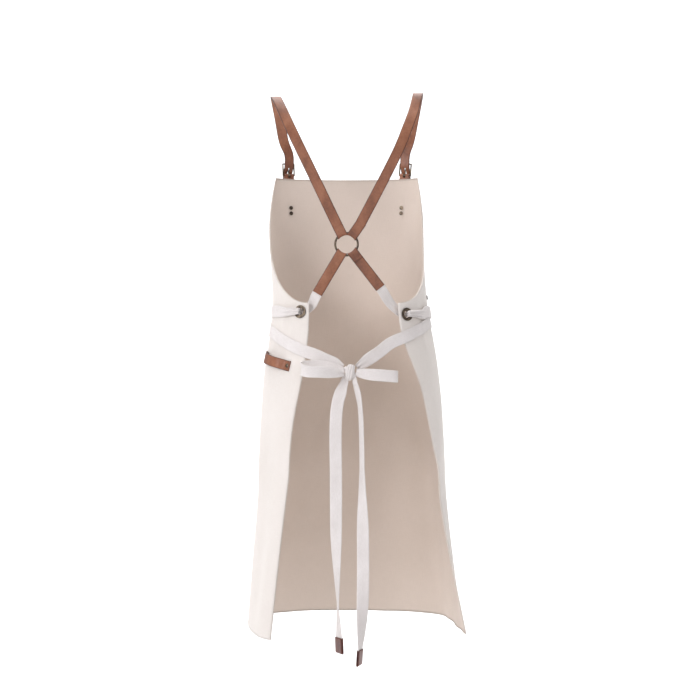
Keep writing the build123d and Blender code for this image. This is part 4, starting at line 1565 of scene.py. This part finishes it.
    def lower_strap(self, side: Side) -> bpy.types.Object:
        """One short strap from the ring to the start of a waist tie.

        Args:
            side: Which side.

        Returns:
            The strip.
        """
        fold = -1 if side is Side.RIGHT else 1
        angle = LOWER_ANGLES[side]
        fold_end = 37.0 if fold < 0 else 50.0
        points, facing, lean = self.wrap(angle, fold, fold_end)
        length = LOWER_LENGTHS[side]
        for radius in np.linspace(48, length, 26):
            points.append(ring_point(angle, float(radius), -fold * 1.35 * max(0.0, 1 - (radius - 46) / 14)))
            facing.append(facing[-1])
            lean.append(0.0)
        inward = np.array(tuple(ring_point(angle, 0) - ring_point(angle, 1)))
        ribbon = Ribbon(np.array([tuple(p) for p in points]), np.array([tuple(f) for f in facing]), STRAP_WIDTH,
                        STRAP_THICKNESS, sag=np.array(lean), sag_axis=unit(inward))
        obj = ribbon.build(side.node("short_strap"), self.finishes.leather)
        self.box_stitch(angle, self.crease, fold_end - 2.5 if fold > 0 else self.crease + 0.01, 2.75)
        self.box_stitch(angle, length - 14, length - 3, 1.3)
        return settle(obj, "strap_leather", side.node("lower_strap"))

    def build(self) -> None:
        """Builds the four straps and their stitches."""
        for side in Side:
            self.shoulder_strap(side)
            self.lower_strap(side)
        sewn = self.stitches.sew("strap_stitches", self.seams, self.finishes.leather_thread, 0.0030, 0.0023, 0.0007)
        settle(sewn, "strap_leather")


# ---------------------------------------------------------------------------------------------------- ties
WEB_WIDTH = 23.0
WEB_THICKNESS = 1.5
EYELET_HEIGHTS = {Side.LEFT: -423.0, Side.RIGHT: -428.0}
TIE_OFFSETS = {Side.LEFT: 2.4, Side.RIGHT: 4.7}
KNOT_CENTRE = mm(6.6, -110, -537)
TIE_HEIGHTS = {   # height of each tie at places across the canvas, from its own eyelet round to the other side
    Side.LEFT: [(-0.86, -421), (-0.6, -419), (-0.3, -425), (0.0, -431), (0.3, -434), (0.6, -434), (0.76, -444),
                (0.88, -457), (0.985, -470)],
    Side.RIGHT: [(0.86, -421), (0.6, -422), (0.3, -428), (0.0, -437), (-0.3, -444), (-0.6, -452), (-0.76, -466),
                 (-0.88, -483), (-0.985, -497)],
}
TIE_ENDS = {   # free stretch from the canvas to the knot
    Side.LEFT: [(84, -85, -482), (62, -93, -499), (40, -98, -514), (20.5, -101, -529)],
    Side.RIGHT: [(-60, -94, -504), (-40, -98, -513), (-22, -99.5, -521), (-7.5, -101, -529)],
}
EYELET_PASS = ((-11, 14, 0.7), (-4, 10, 1.1), (5, 10, 1.3), (11, 12, 1.2))   # out, width, height of the pleats
BOW_ROUTES = {   # middle of each bow loop, out from the knot and back
    Side.LEFT: [(-4, -116, -538), (-24, -126, -537.5), (-50, -134, -536), (-73, -132.5, -535), (-84, -121, -531),
                (-77, -109, -526), (-52, -104.5, -525), (-26, -106, -529), (-4, -109, -535)],
    Side.RIGHT: [(18, -116, -537), (36, -124, -540), (62, -128, -542), (88, -124, -544), (96, -118, -545),
                 (88, -112, -545), (62, -110, -543), (36, -110, -540), (18, -110, -538)],
}
TAIL_ROUTES = {   # middle of each hanging tail, from the knot down to its leather tip
    Side.LEFT: [(-4, -105, -556), (-12, -107, -576), (-19, -110, -604), (-21, -112, -654), (-19.5, -112.5, -744),
                (-20, -112, -874), (-14, -112, -1036)],
    Side.RIGHT: [(16, -115, -556), (22, -120, -577), (26.5, -124, -607), (28.5, -126, -660), (29.5, -126.5, -755),
                 (31.5, -126, -885), (30.5, -126, -985), (25.5, -126, -1056)],
}
TAIL_TWISTS = {   # height, and how far the webbing has turned about its run there
    Side.LEFT: [(-556, 12), (-604, 4), (-760, 4), (-830, 16), (-920, 62), (-975, 84), (-1036, 62)],
    Side.RIGHT: [(-556, 60), (-600, 71), (-720, 69), (-770, 52), (-840, 8), (-930, 4), (-985, -22), (-1056, -72)],
}


@dataclass(frozen=True)
class EyeletSeat:
    """Middle and outward direction of an eyelet."""

    origin: Vector
    out: Vector

    @classmethod
    def of(cls, side: Side) -> "EyeletSeat":
        """The seat of one side's eyelet, from its CAD flange.

        Args:
            side: Which side.

        Returns:
            The seat.
        """
        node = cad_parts[side.node("eyelet")]
        points = np.array([tuple(v.co) for v in node.data.vertices])
        centre = (points.min(axis=0) + points.max(axis=0)) / 2
        spread = np.linalg.svd(points - points.mean(axis=0))[2]
        axis = spread[2]
        if axis[1] > 0:
            axis = -axis
        depth = (points - centre) @ axis
        face = centre + axis * depth.max()
        middle = points[depth > depth.max() - 0.0002].mean(axis=0)
        middle = middle + axis * ((face - middle) @ axis)
        return cls(Vector(middle - axis * 3.4 * MM), Vector(axis))


@dataclass
class TieSet:
    """The webbing: two waist ties, the bow, its knot and the two hanging tails with leather tips."""

    canvas: WornCanvas
    finishes: Finishes
    stitches: StitchTree

    def waist_tie(self, side: Side, seat: EyeletSeat) -> bpy.types.Object:
        """Webbing from the short strap through its eyelet and round the waist to the knot.

        Args:
            side: Whose eyelet it passes.
            seat: That eyelet.

        Returns:
            The tie.
        """
        angle, length, sign = LOWER_ANGLES[side], LOWER_LENGTHS[side], side.sign
        radial = (ring_point(angle, 1) - ring_point(angle, 0)).normalized()
        strip = radial.cross(Vector((0, 1, 0)))
        strip = strip if strip.z > 0 else -strip
        under = 1.2 + WEB_THICKNESS / 2 + 0.15
        rows = [(ring_point(angle, length - 18, under), strip, WEB_WIDTH - 4, 0.0),
                (ring_point(angle, length + 4, under + 0.4), strip, WEB_WIDTH - 3.5, 0.0)]
        end = rows[-1][0]
        behind = seat.origin - seat.out * 24 * MM
        upright = Vector((0, 0, 1))
        rows.append((end.lerp(behind, 0.5), (strip + upright).normalized(), WEB_WIDTH - 4, 0.25))
        for out, width, pleat in EYELET_PASS:
            rows.append((seat.origin + seat.out * out * MM, upright, width, pleat))
        eyelet_place = self.eyelet_place(side)
        offset = TIE_OFFSETS[side]
        heights = np.array(sorted(TIE_HEIGHTS[side]), dtype=float)
        first = sign * (eyelet_place - 0.075)
        spots = [(first, EYELET_HEIGHTS[side] + 1, offset + 4.6, 16, 1.0),
                 (sign * (eyelet_place - 0.12), EYELET_HEIGHTS[side] + 1, offset + 1.2, 19.5, 0.6)]
        for place in np.arange(eyelet_place - 0.17, -0.985, -0.045):
            across = sign * place
            height = float(np.interp(across, heights[:, 0], heights[:, 1]))
            alone = min(1.0, max(0.0, (-place - 0.40) / 0.2))
            near = TIE_OFFSETS[Side.LEFT] - 0.4
            spots.append((across, height, offset + (near - offset) * alone, WEB_WIDTH, 0.0))
        for across, height, out, width, pleat in spots:
            point = Vector(self.canvas.at(np.array(across), np.array(height), out))
            rows.append((point, None, width, pleat))
        rows += [(mm(*p), None, WEB_WIDTH, 0.0) for p in TIE_ENDS[side][:-1]]
        rows.append((mm(*TIE_ENDS[side][-1]), None, WEB_WIDTH - 9, 1.4))
        last = len(rows) - 1
        filled = []
        for k, (point, strip_across, width, pleat) in enumerate(rows):
            run = rows[min(k + 1, last)][0] - rows[max(k - 1, 0)][0]
            if strip_across is None:
                outwards = self.outward_at(point, k > last - len(TIE_ENDS[side]))
                strip_across = outwards.cross(run).normalized()
                strip_across = strip_across if strip_across.z > 0 else -strip_across
            facing = strip_across.cross(run).normalized()
            filled.append((*point, *facing, width, pleat))
        table = np.array(filled)
        steps = 8
        smooth = smooth_line([tuple(row) for row in table], steps)
        ribbon = Ribbon(smooth[:, :3], unit(smooth[:, 3:6]), smooth[:, 6] * MM, WEB_THICKNESS * MM,
                        gather=np.clip(smooth[:, 7], 0, 3) * MM, divisions=14)
        obj = ribbon.build(side.node("waist_webbing"), self.finishes.webbing)
        return settle(obj, "cotton_webbing", side.node("waist_tie"))

    def eyelet_place(self, side: Side) -> float:
        """Where an eyelet lies across the canvas, as a share of the half girth.

        Args:
            side: Which side.

        Returns:
            The place across.
        """
        level = float(EYELET_HEIGHTS[side])
        table = self.canvas.at(np.linspace(0.8, 1, 41) * side.sign, np.full(41, level))
        from_edge = lengths_along(table[::-1])
        return float(np.interp(18 * MM, from_edge, np.linspace(1, 0.8, 41)))

    def outward_at(self, point: Vector, free: bool) -> Vector:
        """Facing of a tie at a point: off the canvas, or backwards on the free stretch.

        Args:
            point: The point in metres.
            free: Whether the tie is off the canvas there.

        Returns:
            The facing direction.
        """
        if free:
            return Vector((0, -1, 0))
        flat = self.canvas.points.reshape(-1, 3)
        nearest = int(np.argmin(np.linalg.norm(flat - np.array(point), axis=1)))
        return Vector(self.canvas.normals.reshape(-1, 3)[nearest])

    def bow_loop(self, side: Side) -> bpy.types.Object:
        """One loop of the bow, standing on edge and gathered at the knot.

        Args:
            side: Which side.

        Returns:
            The loop.
        """
        route = [mm(*p) for p in BOW_ROUTES[side]]
        line = smooth_line(route, 14)
        run = unit(np.gradient(line, axis=0))
        lean = np.array((0.0, 0.24 if side is Side.LEFT else 0.06, 1.0))
        facing = unit(np.cross(np.broadcast_to(lean, run.shape), run))
        share = np.linspace(0, 1, len(line))
        near_knot = np.clip(1 - np.minimum(share, 1 - share) / 0.2, 0, 1) ** 1.5
        width = (WEB_WIDTH - 1 - 9 * near_knot) * MM
        ribbon = Ribbon(line, facing, width, WEB_THICKNESS * MM,
                        gather=1.3 * near_knot * MM, pleats=1.5, divisions=12)
        obj = ribbon.build(side.node("bow"), self.finishes.webbing)
        return settle(obj, "cotton_webbing", side.node("bow_loop"))

    def knot(self) -> bpy.types.Object:
        """The knot: webbing gathered into a wrap round the crossing.

        Returns:
            The knot.
        """
        parts = []
        wraps = ((0.0, 9.4, 12.6, 16.0, 0.16), (1.0, 7.8, 10.4, 20.0, -0.34))
        for turn_about, half_y, half_z, width, tilt in wraps:
            angles = np.linspace(0, 2 * math.pi, 41)[:-1] + turn_about
            line = np.stack([
                KNOT_CENTRE.x + 1.2 * MM * np.sin(angles + turn_about) + tilt * half_z * MM * np.sin(angles),
                KNOT_CENTRE.y + half_y * MM * np.cos(angles),
                KNOT_CENTRE.z + half_z * MM * np.sin(angles)], axis=1)
            parts.append((line, width))
        verts, faces, flat = [], [], []
        for line, width in parts:
            start = len(verts)
            count = len(line)
            run = unit(np.roll(line, -1, axis=0) - np.roll(line, 1, axis=0))
            facing = unit(line - np.array(KNOT_CENTRE))
            sideways = unit(np.cross(run, facing))
            section = [(-1 + 2 * k / 14, 1) for k in range(15)] + [(1 - 2 * k / 14, -1) for k in range(15)]
            lengths = lengths_along(line)
            for k in range(count):
                waist = 1 - 0.22 * abs(math.sin(2 * math.pi * k / count))
                for across, rise in section:
                    pleat = 0.9 * math.sin(across * 3.2 * math.pi + 1.1 * math.sin(2 * math.pi * k / count + width))
                    crown = 1.6 * (1 - across ** 2)
                    lift = (rise * (0.8 if abs(across) < 0.99 else 0.35) + pleat + crown) * MM
                    verts.append(line[k] + sideways[k] * across * width * waist / 2 * MM + facing[k] * lift)
                    flat.append((lengths[k], (across + 1) / 2 * WEB_WIDTH * MM))
            ring = len(section)
            for k in range(count):
                following = (k + 1) % count
                for m in range(ring):
                    n = (m + 1) % ring
                    faces.append((start + k * ring + m, start + following * ring + m,
                                  start + following * ring + n, start + k * ring + n))
        obj = new_piece("knot", np.array(verts), faces, self.finishes.webbing, np.array(flat))
        outward_faces(obj)
        for side in Side:
            self.knot_end(side)
        return settle(obj, "cotton_webbing", "bow_knot")

    def knot_end(self, side: Side) -> bpy.types.Object:
        """The short stretch of webbing between the knot's wrap and the top of a hanging tail.

        Args:
            side: Which side.

        Returns:
            The stub.
        """
        top, below = (mm(*p) for p in TAIL_ROUTES[side][:2])
        run = (below - top).normalized()
        inside = KNOT_CENTRE + mm(3.5 * side.sign, 2.0, -4.0)
        route = [inside, inside.lerp(top, 0.55) + mm(1.2 * side.sign, -1.4, 0), top + mm(0, -1.5, 0),
                 top + run * 5 * MM + mm(0, -1.3, 0)]
        line = smooth_line(route, 6)
        angle = math.radians(TAIL_TWISTS[side][0][1])
        sideways = np.array((math.cos(angle), -math.sin(angle), 0.0))
        tangent = unit(np.gradient(line, axis=0))
        facing = unit(np.cross(np.broadcast_to(sideways, tangent.shape), tangent))
        width = np.linspace(12, 17, len(line)) * MM
        ribbon = Ribbon(line, facing, width, WEB_THICKNESS * MM, gather=1.1 * MM, pleats=1.0, divisions=10)
        obj = ribbon.build(side.node("knot_end"), self.finishes.webbing)
        return settle(obj, "cotton_webbing")

    def tail(self, side: Side) -> bpy.types.Object:
        """A hanging tail and the leather folded over its end, both riding on the tail's own body.

        Args:
            side: Which side.

        Returns:
            The tail.
        """
        line = self.spline_points(side)
        twist = np.array(TAIL_TWISTS[side][::-1], dtype=float)
        angle = np.radians(np.interp(line[:, 2] / MM, twist[:, 0], twist[:, 1]))
        for _ in range(12):
            angle[1:-1] = (angle[:-2] + 2 * angle[1:-1] + angle[2:]) / 4
        run = unit(np.gradient(line, axis=0))
        sideways = np.stack([np.cos(angle), -np.sin(angle), np.zeros_like(angle)], axis=1)
        facing = unit(np.cross(sideways, run))
        share = lengths_along(line) / 0.02
        near_knot = np.clip(1 - share, 0, 1)
        ribbon = Ribbon(line, facing, (WEB_WIDTH - 8 * near_knot) * MM, WEB_THICKNESS * MM,
                        gather=(0.25 + 1.0 * near_knot) * MM, pleats=1.0, divisions=10)
        obj = ribbon.build(side.node("tail"), self.finishes.webbing)
        settle(obj, "cotton_webbing", side.node("tie_tail"), body=side.node("tail"))
        tip = self.tip(side, line[-1], run[-1], unit(np.cross(run[-1], facing[-1])))
        return obj

    def spline_points(self, side: Side) -> np.ndarray:
        """Points of the smooth curve that a tail's route controls.

        Args:
            side: Which side.

        Returns:
            Points along the curve, in metres.
        """
        curve = bpy.data.curves.new("tail_line", "CURVE")
        curve.dimensions = "3D"
        spline = curve.splines.new("NURBS")
        route = [mm(*p) for p in TAIL_ROUTES[side]]
        spline.points.add(len(route) - 1)
        for target, point in zip(spline.points, route):
            target.co = (*point, 1.0)
        spline.order_u = 3
        spline.use_endpoint_u = True
        spline.resolution_u = 40
        line = bpy.data.objects.new("tail_line", curve)
        bpy.context.scene.collection.objects.link(line)
        graph = bpy.context.evaluated_depsgraph_get()
        graph.update()
        mesh = bpy.data.meshes.new_from_object(line.evaluated_get(graph), depsgraph=graph)
        points = np.array([tuple(v.co) for v in mesh.vertices])
        bpy.data.objects.remove(line)
        if points[0, 2] < points[-1, 2]:
            points = points[::-1]
        return evenly(points, 0.0025)[0]

    def tip(self, side: Side, end: np.ndarray, run: np.ndarray, sideways: np.ndarray) -> list[bpy.types.Object]:
        """Leather folded over a tail's end, with its row of stitches.

        Args:
            side: Which tail.
            end: Where the webbing ends.
            run: The webbing's direction there.
            sideways: Across the webbing there.

        Returns:
            The tip's pieces.
        """
        facing = np.cross(sideways, run)
        start, stop, half = -1.0, 26.5, 1.75
        spots = [(s, half) for s in np.linspace(start, stop, 14)]
        spots += [(stop + half * math.sin(t), half * math.cos(t)) for t in np.linspace(0, math.pi, 9)[1:-1]]
        spots += [(s, -half) for s in np.linspace(stop, start, 14)]
        points = np.array([end + run * s * MM + facing * o * MM for s, o in spots])
        middle = end + run * stop * MM
        outwards = np.array([facing * o if s <= stop else (p - middle) for (s, o), p in zip(spots, points)])
        ribbon = Ribbon(points, unit(outwards), 24.6 * MM, 1.6 * MM)
        leather = ribbon.build(side.node("tip"), self.finishes.tip_leather)
        settle(leather, "strap_leather", side.node("tie_tip"), body=side.node("tail"))
        rows = []
        for level in (half + 0.85, -half - 0.85):
            for s in (2.0, 5.0):
                ends = [end + run * s * MM + facing * level * MM + sideways * x * MM for x in (-10.3, 10.3)]
                rows.append(evenly(np.array(ends), 0.001)[0])
        sewn = self.stitches.sew(side.node("tip_stitches"), rows, self.finishes.leather_thread,
                                 0.0029, 0.0022, 0.0006)
        settle(sewn, "strap_leather", body=side.node("tail"))
        return [leather, sewn]

    def build(self) -> None:
        """Builds all the webbing."""
        for side in Side:
            self.waist_tie(side, EyeletSeat.of(side))
            self.bow_loop(side)
            self.tail(side)
        self.knot()


# ---------------------------------------------------------------------------------------------------- trim
@dataclass
class TowelLoop:
    """Leather strap sewn and riveted to the canvas at both ends, standing off between them."""

    canvas: WornCanvas
    finishes: Finishes
    width: float = 20.0
    bulge: float = 10.0
    seat: float = 2.0
    places: tuple = ((-0.915, -526, 0.0), (-0.885, -524, 0.0), (-0.85, -521, 0.7), (-0.81, -518, 1.0),
                     (-0.76, -514, 1.0), (-0.72, -511, 0.7), (-0.68, -508, 0.0), (-0.65, -506, 0.0))

    def build(self) -> None:
        """Builds the loop and its rivets."""
        table = smooth_line([tuple(p) for p in self.places], 10)
        lift = np.clip(table[:, 2], 0, 1)
        lift = lift * lift * (3 - 2 * lift)
        points = self.canvas.at(table[:, 0], table[:, 1], self.seat + self.bulge * lift)
        _, normals = self.canvas.sample(table[:, 0], table[:, 1])
        ribbon = Ribbon(points, normals, self.width * MM, 2.4 * MM)
        obj = ribbon.build("loop_for_towel", self.finishes.leather)
        settle(obj, "strap_leather", "towel_loop")
        verts, faces = [], []
        for near, far in (self.places[:2], self.places[-2:]):
            across, height = (near[0] + far[0]) / 2, (near[1] + far[1]) / 2
            seat, normal = self.canvas.sample(np.array(across), np.array(height))
            self.rivet(verts, faces, Vector(seat + normal * (self.seat + 1.2) * MM), Vector(normal))
        caps = new_piece("loop_rivets", np.array(verts), faces, self.finishes.brass)
        outward_faces(caps)
        settle(caps, "antique_brass", "towel_loop_rivets")

    def rivet(self, verts: list, faces: list, seat: Vector, normal: Vector) -> None:
        """Adds a domed rivet cap.

        Args:
            verts: Vertices so far.
            faces: Faces so far.
            seat: Middle of the cap's underside.
            normal: Outward direction.
        """
        profile = ((0.0, -0.4), (3.8, -0.4), (4.1, 0.1), (3.9, 0.7), (3.0, 1.3), (1.6, 1.7), (0.0, 1.85))
        turn = normal.to_track_quat("Z", "Y").to_matrix()
        start = len(verts)
        segments = 24
        for radius, rise in profile[1:-1]:
            for k in range(segments):
                angle = 2 * math.pi * k / segments
                verts.append(tuple(seat + turn @ mm(radius * math.cos(angle), radius * math.sin(angle), rise)))
        rings = len(profile) - 2
        verts.append(tuple(seat + turn @ mm(0, 0, profile[0][1])))
        verts.append(tuple(seat + turn @ mm(0, 0, profile[-1][1])))
        low, high = len(verts) - 2, len(verts) - 1
        for k in range(segments):
            n = (k + 1) % segments
            faces.append((low, start + n, start + k))
            faces.append((high, start + (rings - 1) * segments + k, start + (rings - 1) * segments + n))
            for r in range(rings - 1):
                a, b = start + r * segments, start + (r + 1) * segments
                faces.append((a + k, a + n, b + n, b + k))


@dataclass
class CarriedParts:
    """The CAD pieces whose shape stays: they only get their finishes."""

    finishes: Finishes

    def dress(self) -> None:
        """Gives each carried-over CAD node its material."""
        brass = ["back_ring", "bib_rivets", "side_stud"]
        leather = []
        for side in Side:
            brass += [side.node(n) for n in ("buckle_frame", "buckle_prong", "eyelet", "eyelet_washer")]
            leather += [side.node(n) for n in ("bib_tab", "strap_keeper")]
        for names, material in ((brass, self.finishes.brass), (leather, self.finishes.plain_leather)):
            for name in names:
                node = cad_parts[name]
                if not node.material_slots:
                    node.data.materials.append(material)
                for slot in node.material_slots:
                    slot.link = "OBJECT"
                    slot.material = material
                LOG.info("%s: CAD shape kept, %s", name, material.name)


# ---------------------------------------------------------------------------------------------------- studio
@dataclass
class Studio:
    """Pale floor and backdrop, soft lights, and the camera behind the wearer."""

    floor_height: float = -1.45
    aim: Point = (0.0, 0.0, -0.5)
    backdrop_aim: Point = (0.0, 3.6, -0.2)
    air_strength: float = 0.42
    camera_place: Point = (0.0066, -2.88, -0.495)
    lens: float = 75.8

    def surface(self) -> bpy.types.Material:
        """Matt white paper.

        Returns:
            The material.
        """
        board = NodeBoard("studio_paper")
        fine = board.noise(board.place(), 40.0, 3.0)
        colour = board.ramp(fine, [(0.3, (0.90, 0.90, 0.90)), (0.7, (0.92, 0.92, 0.92))])
        board.shader.inputs["Roughness"].default_value = 0.95
        board.shader.inputs["Specular IOR Level"].default_value = 0.1
        return board.finish(colour, board.bump(fine, 0.0001, 0.1))

    def sweep(self) -> None:
        """A floor that curves up into a backdrop."""
        profile = [(-6.0, 0.0), (2.4, 0.0)]
        for turn in np.linspace(0, math.pi / 2, 14)[1:]:
            profile.append((2.4 + 1.2 * math.sin(turn), 1.2 - 1.2 * math.cos(turn)))
        profile.append((3.6, 6.0))
        verts = [(x, y, self.floor_height + z) for y, z in profile for x in (-7.0, 7.0)]
        faces = [(2 * k, 2 * k + 1, 2 * k + 3, 2 * k + 2) for k in range(len(profile) - 1)]
        sweep = new_piece("paper_sweep", np.array(verts), faces, self.surface())

    def light(self, name: str, place: Point, aim: Point, size: float, power: float, colour: Point) -> None:
        """A soft square light.

        Args:
            name: The lamp's name.
            place: Where it stands.
            aim: Where it points.
            size: Side of its square.
            power: Its power in watts.
            colour: Its colour.
        """
        data = bpy.data.lights.new(name, "AREA")
        data.size = size
        data.energy = power
        data.color = colour
        lamp = bpy.data.objects.new(name, data)
        lamp.location = place
        lamp.rotation_euler = (Vector(aim) - Vector(place)).to_track_quat("-Z", "Y").to_euler()
        bpy.context.scene.collection.objects.link(lamp)

    def build(self) -> None:
        """Sets up floor, lights, world and camera."""
        self.sweep()
        self.light("key", (-2.2, -2.3, 0.5), self.aim, 1.6, 58.0, (0.94, 0.95, 1.0))
        self.light("fill", (1.0, -2.9, 0.3), self.aim, 2.0, 19.0, (0.96, 0.955, 1.0))
        self.light("top", (-0.4, 0.5, 2.2), self.aim, 2.0, 26.0, (1.0, 1.0, 1.0))
        self.light("backdrop", (0.0, 1.4, 1.9), self.backdrop_aim, 4.0, 150.0, (1.0, 1.0, 1.0))
        world = bpy.data.worlds.new("studio_air")
        world.use_nodes = True
        world.node_tree.nodes["Background"].inputs["Color"].default_value = (0.94, 0.95, 1.0, 1.0)
        world.node_tree.nodes["Background"].inputs["Strength"].default_value = self.air_strength
        bpy.context.scene.world = world
        data = bpy.data.cameras.new("camera")
        data.sensor_width = 36.0
        data.lens = self.lens
        camera = bpy.data.objects.new("camera", data)
        camera.location = self.camera_place
        camera.rotation_euler = (math.pi / 2, 0, 0)
        bpy.context.scene.collection.objects.link(camera)
        bpy.context.scene.camera = camera
        bpy.context.scene.view_settings.view_transform = "Standard"


def main() -> None:
    """Builds the apron's visible pieces in order, then the studio."""
    logging.basicConfig(level=logging.INFO, format="%(name)s: %(message)s")
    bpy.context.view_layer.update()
    finishes = Finishes()
    stitches = StitchTree()
    canvas = WornCanvas()
    ClothSettler(canvas).run()
    seats = [EyeletSeat.of(side) for side in Side]
    ApronBody(canvas, finishes, stitches).build([(seat.origin, seat.out) for seat in seats])
    StrapHarness(finishes, stitches).build()
    TieSet(canvas, finishes, stitches).build()
    TowelLoop(canvas, finishes).build()
    CarriedParts(finishes).dress()
    Studio().build()
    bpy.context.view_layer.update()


if __name__ == "__main__":
    main()
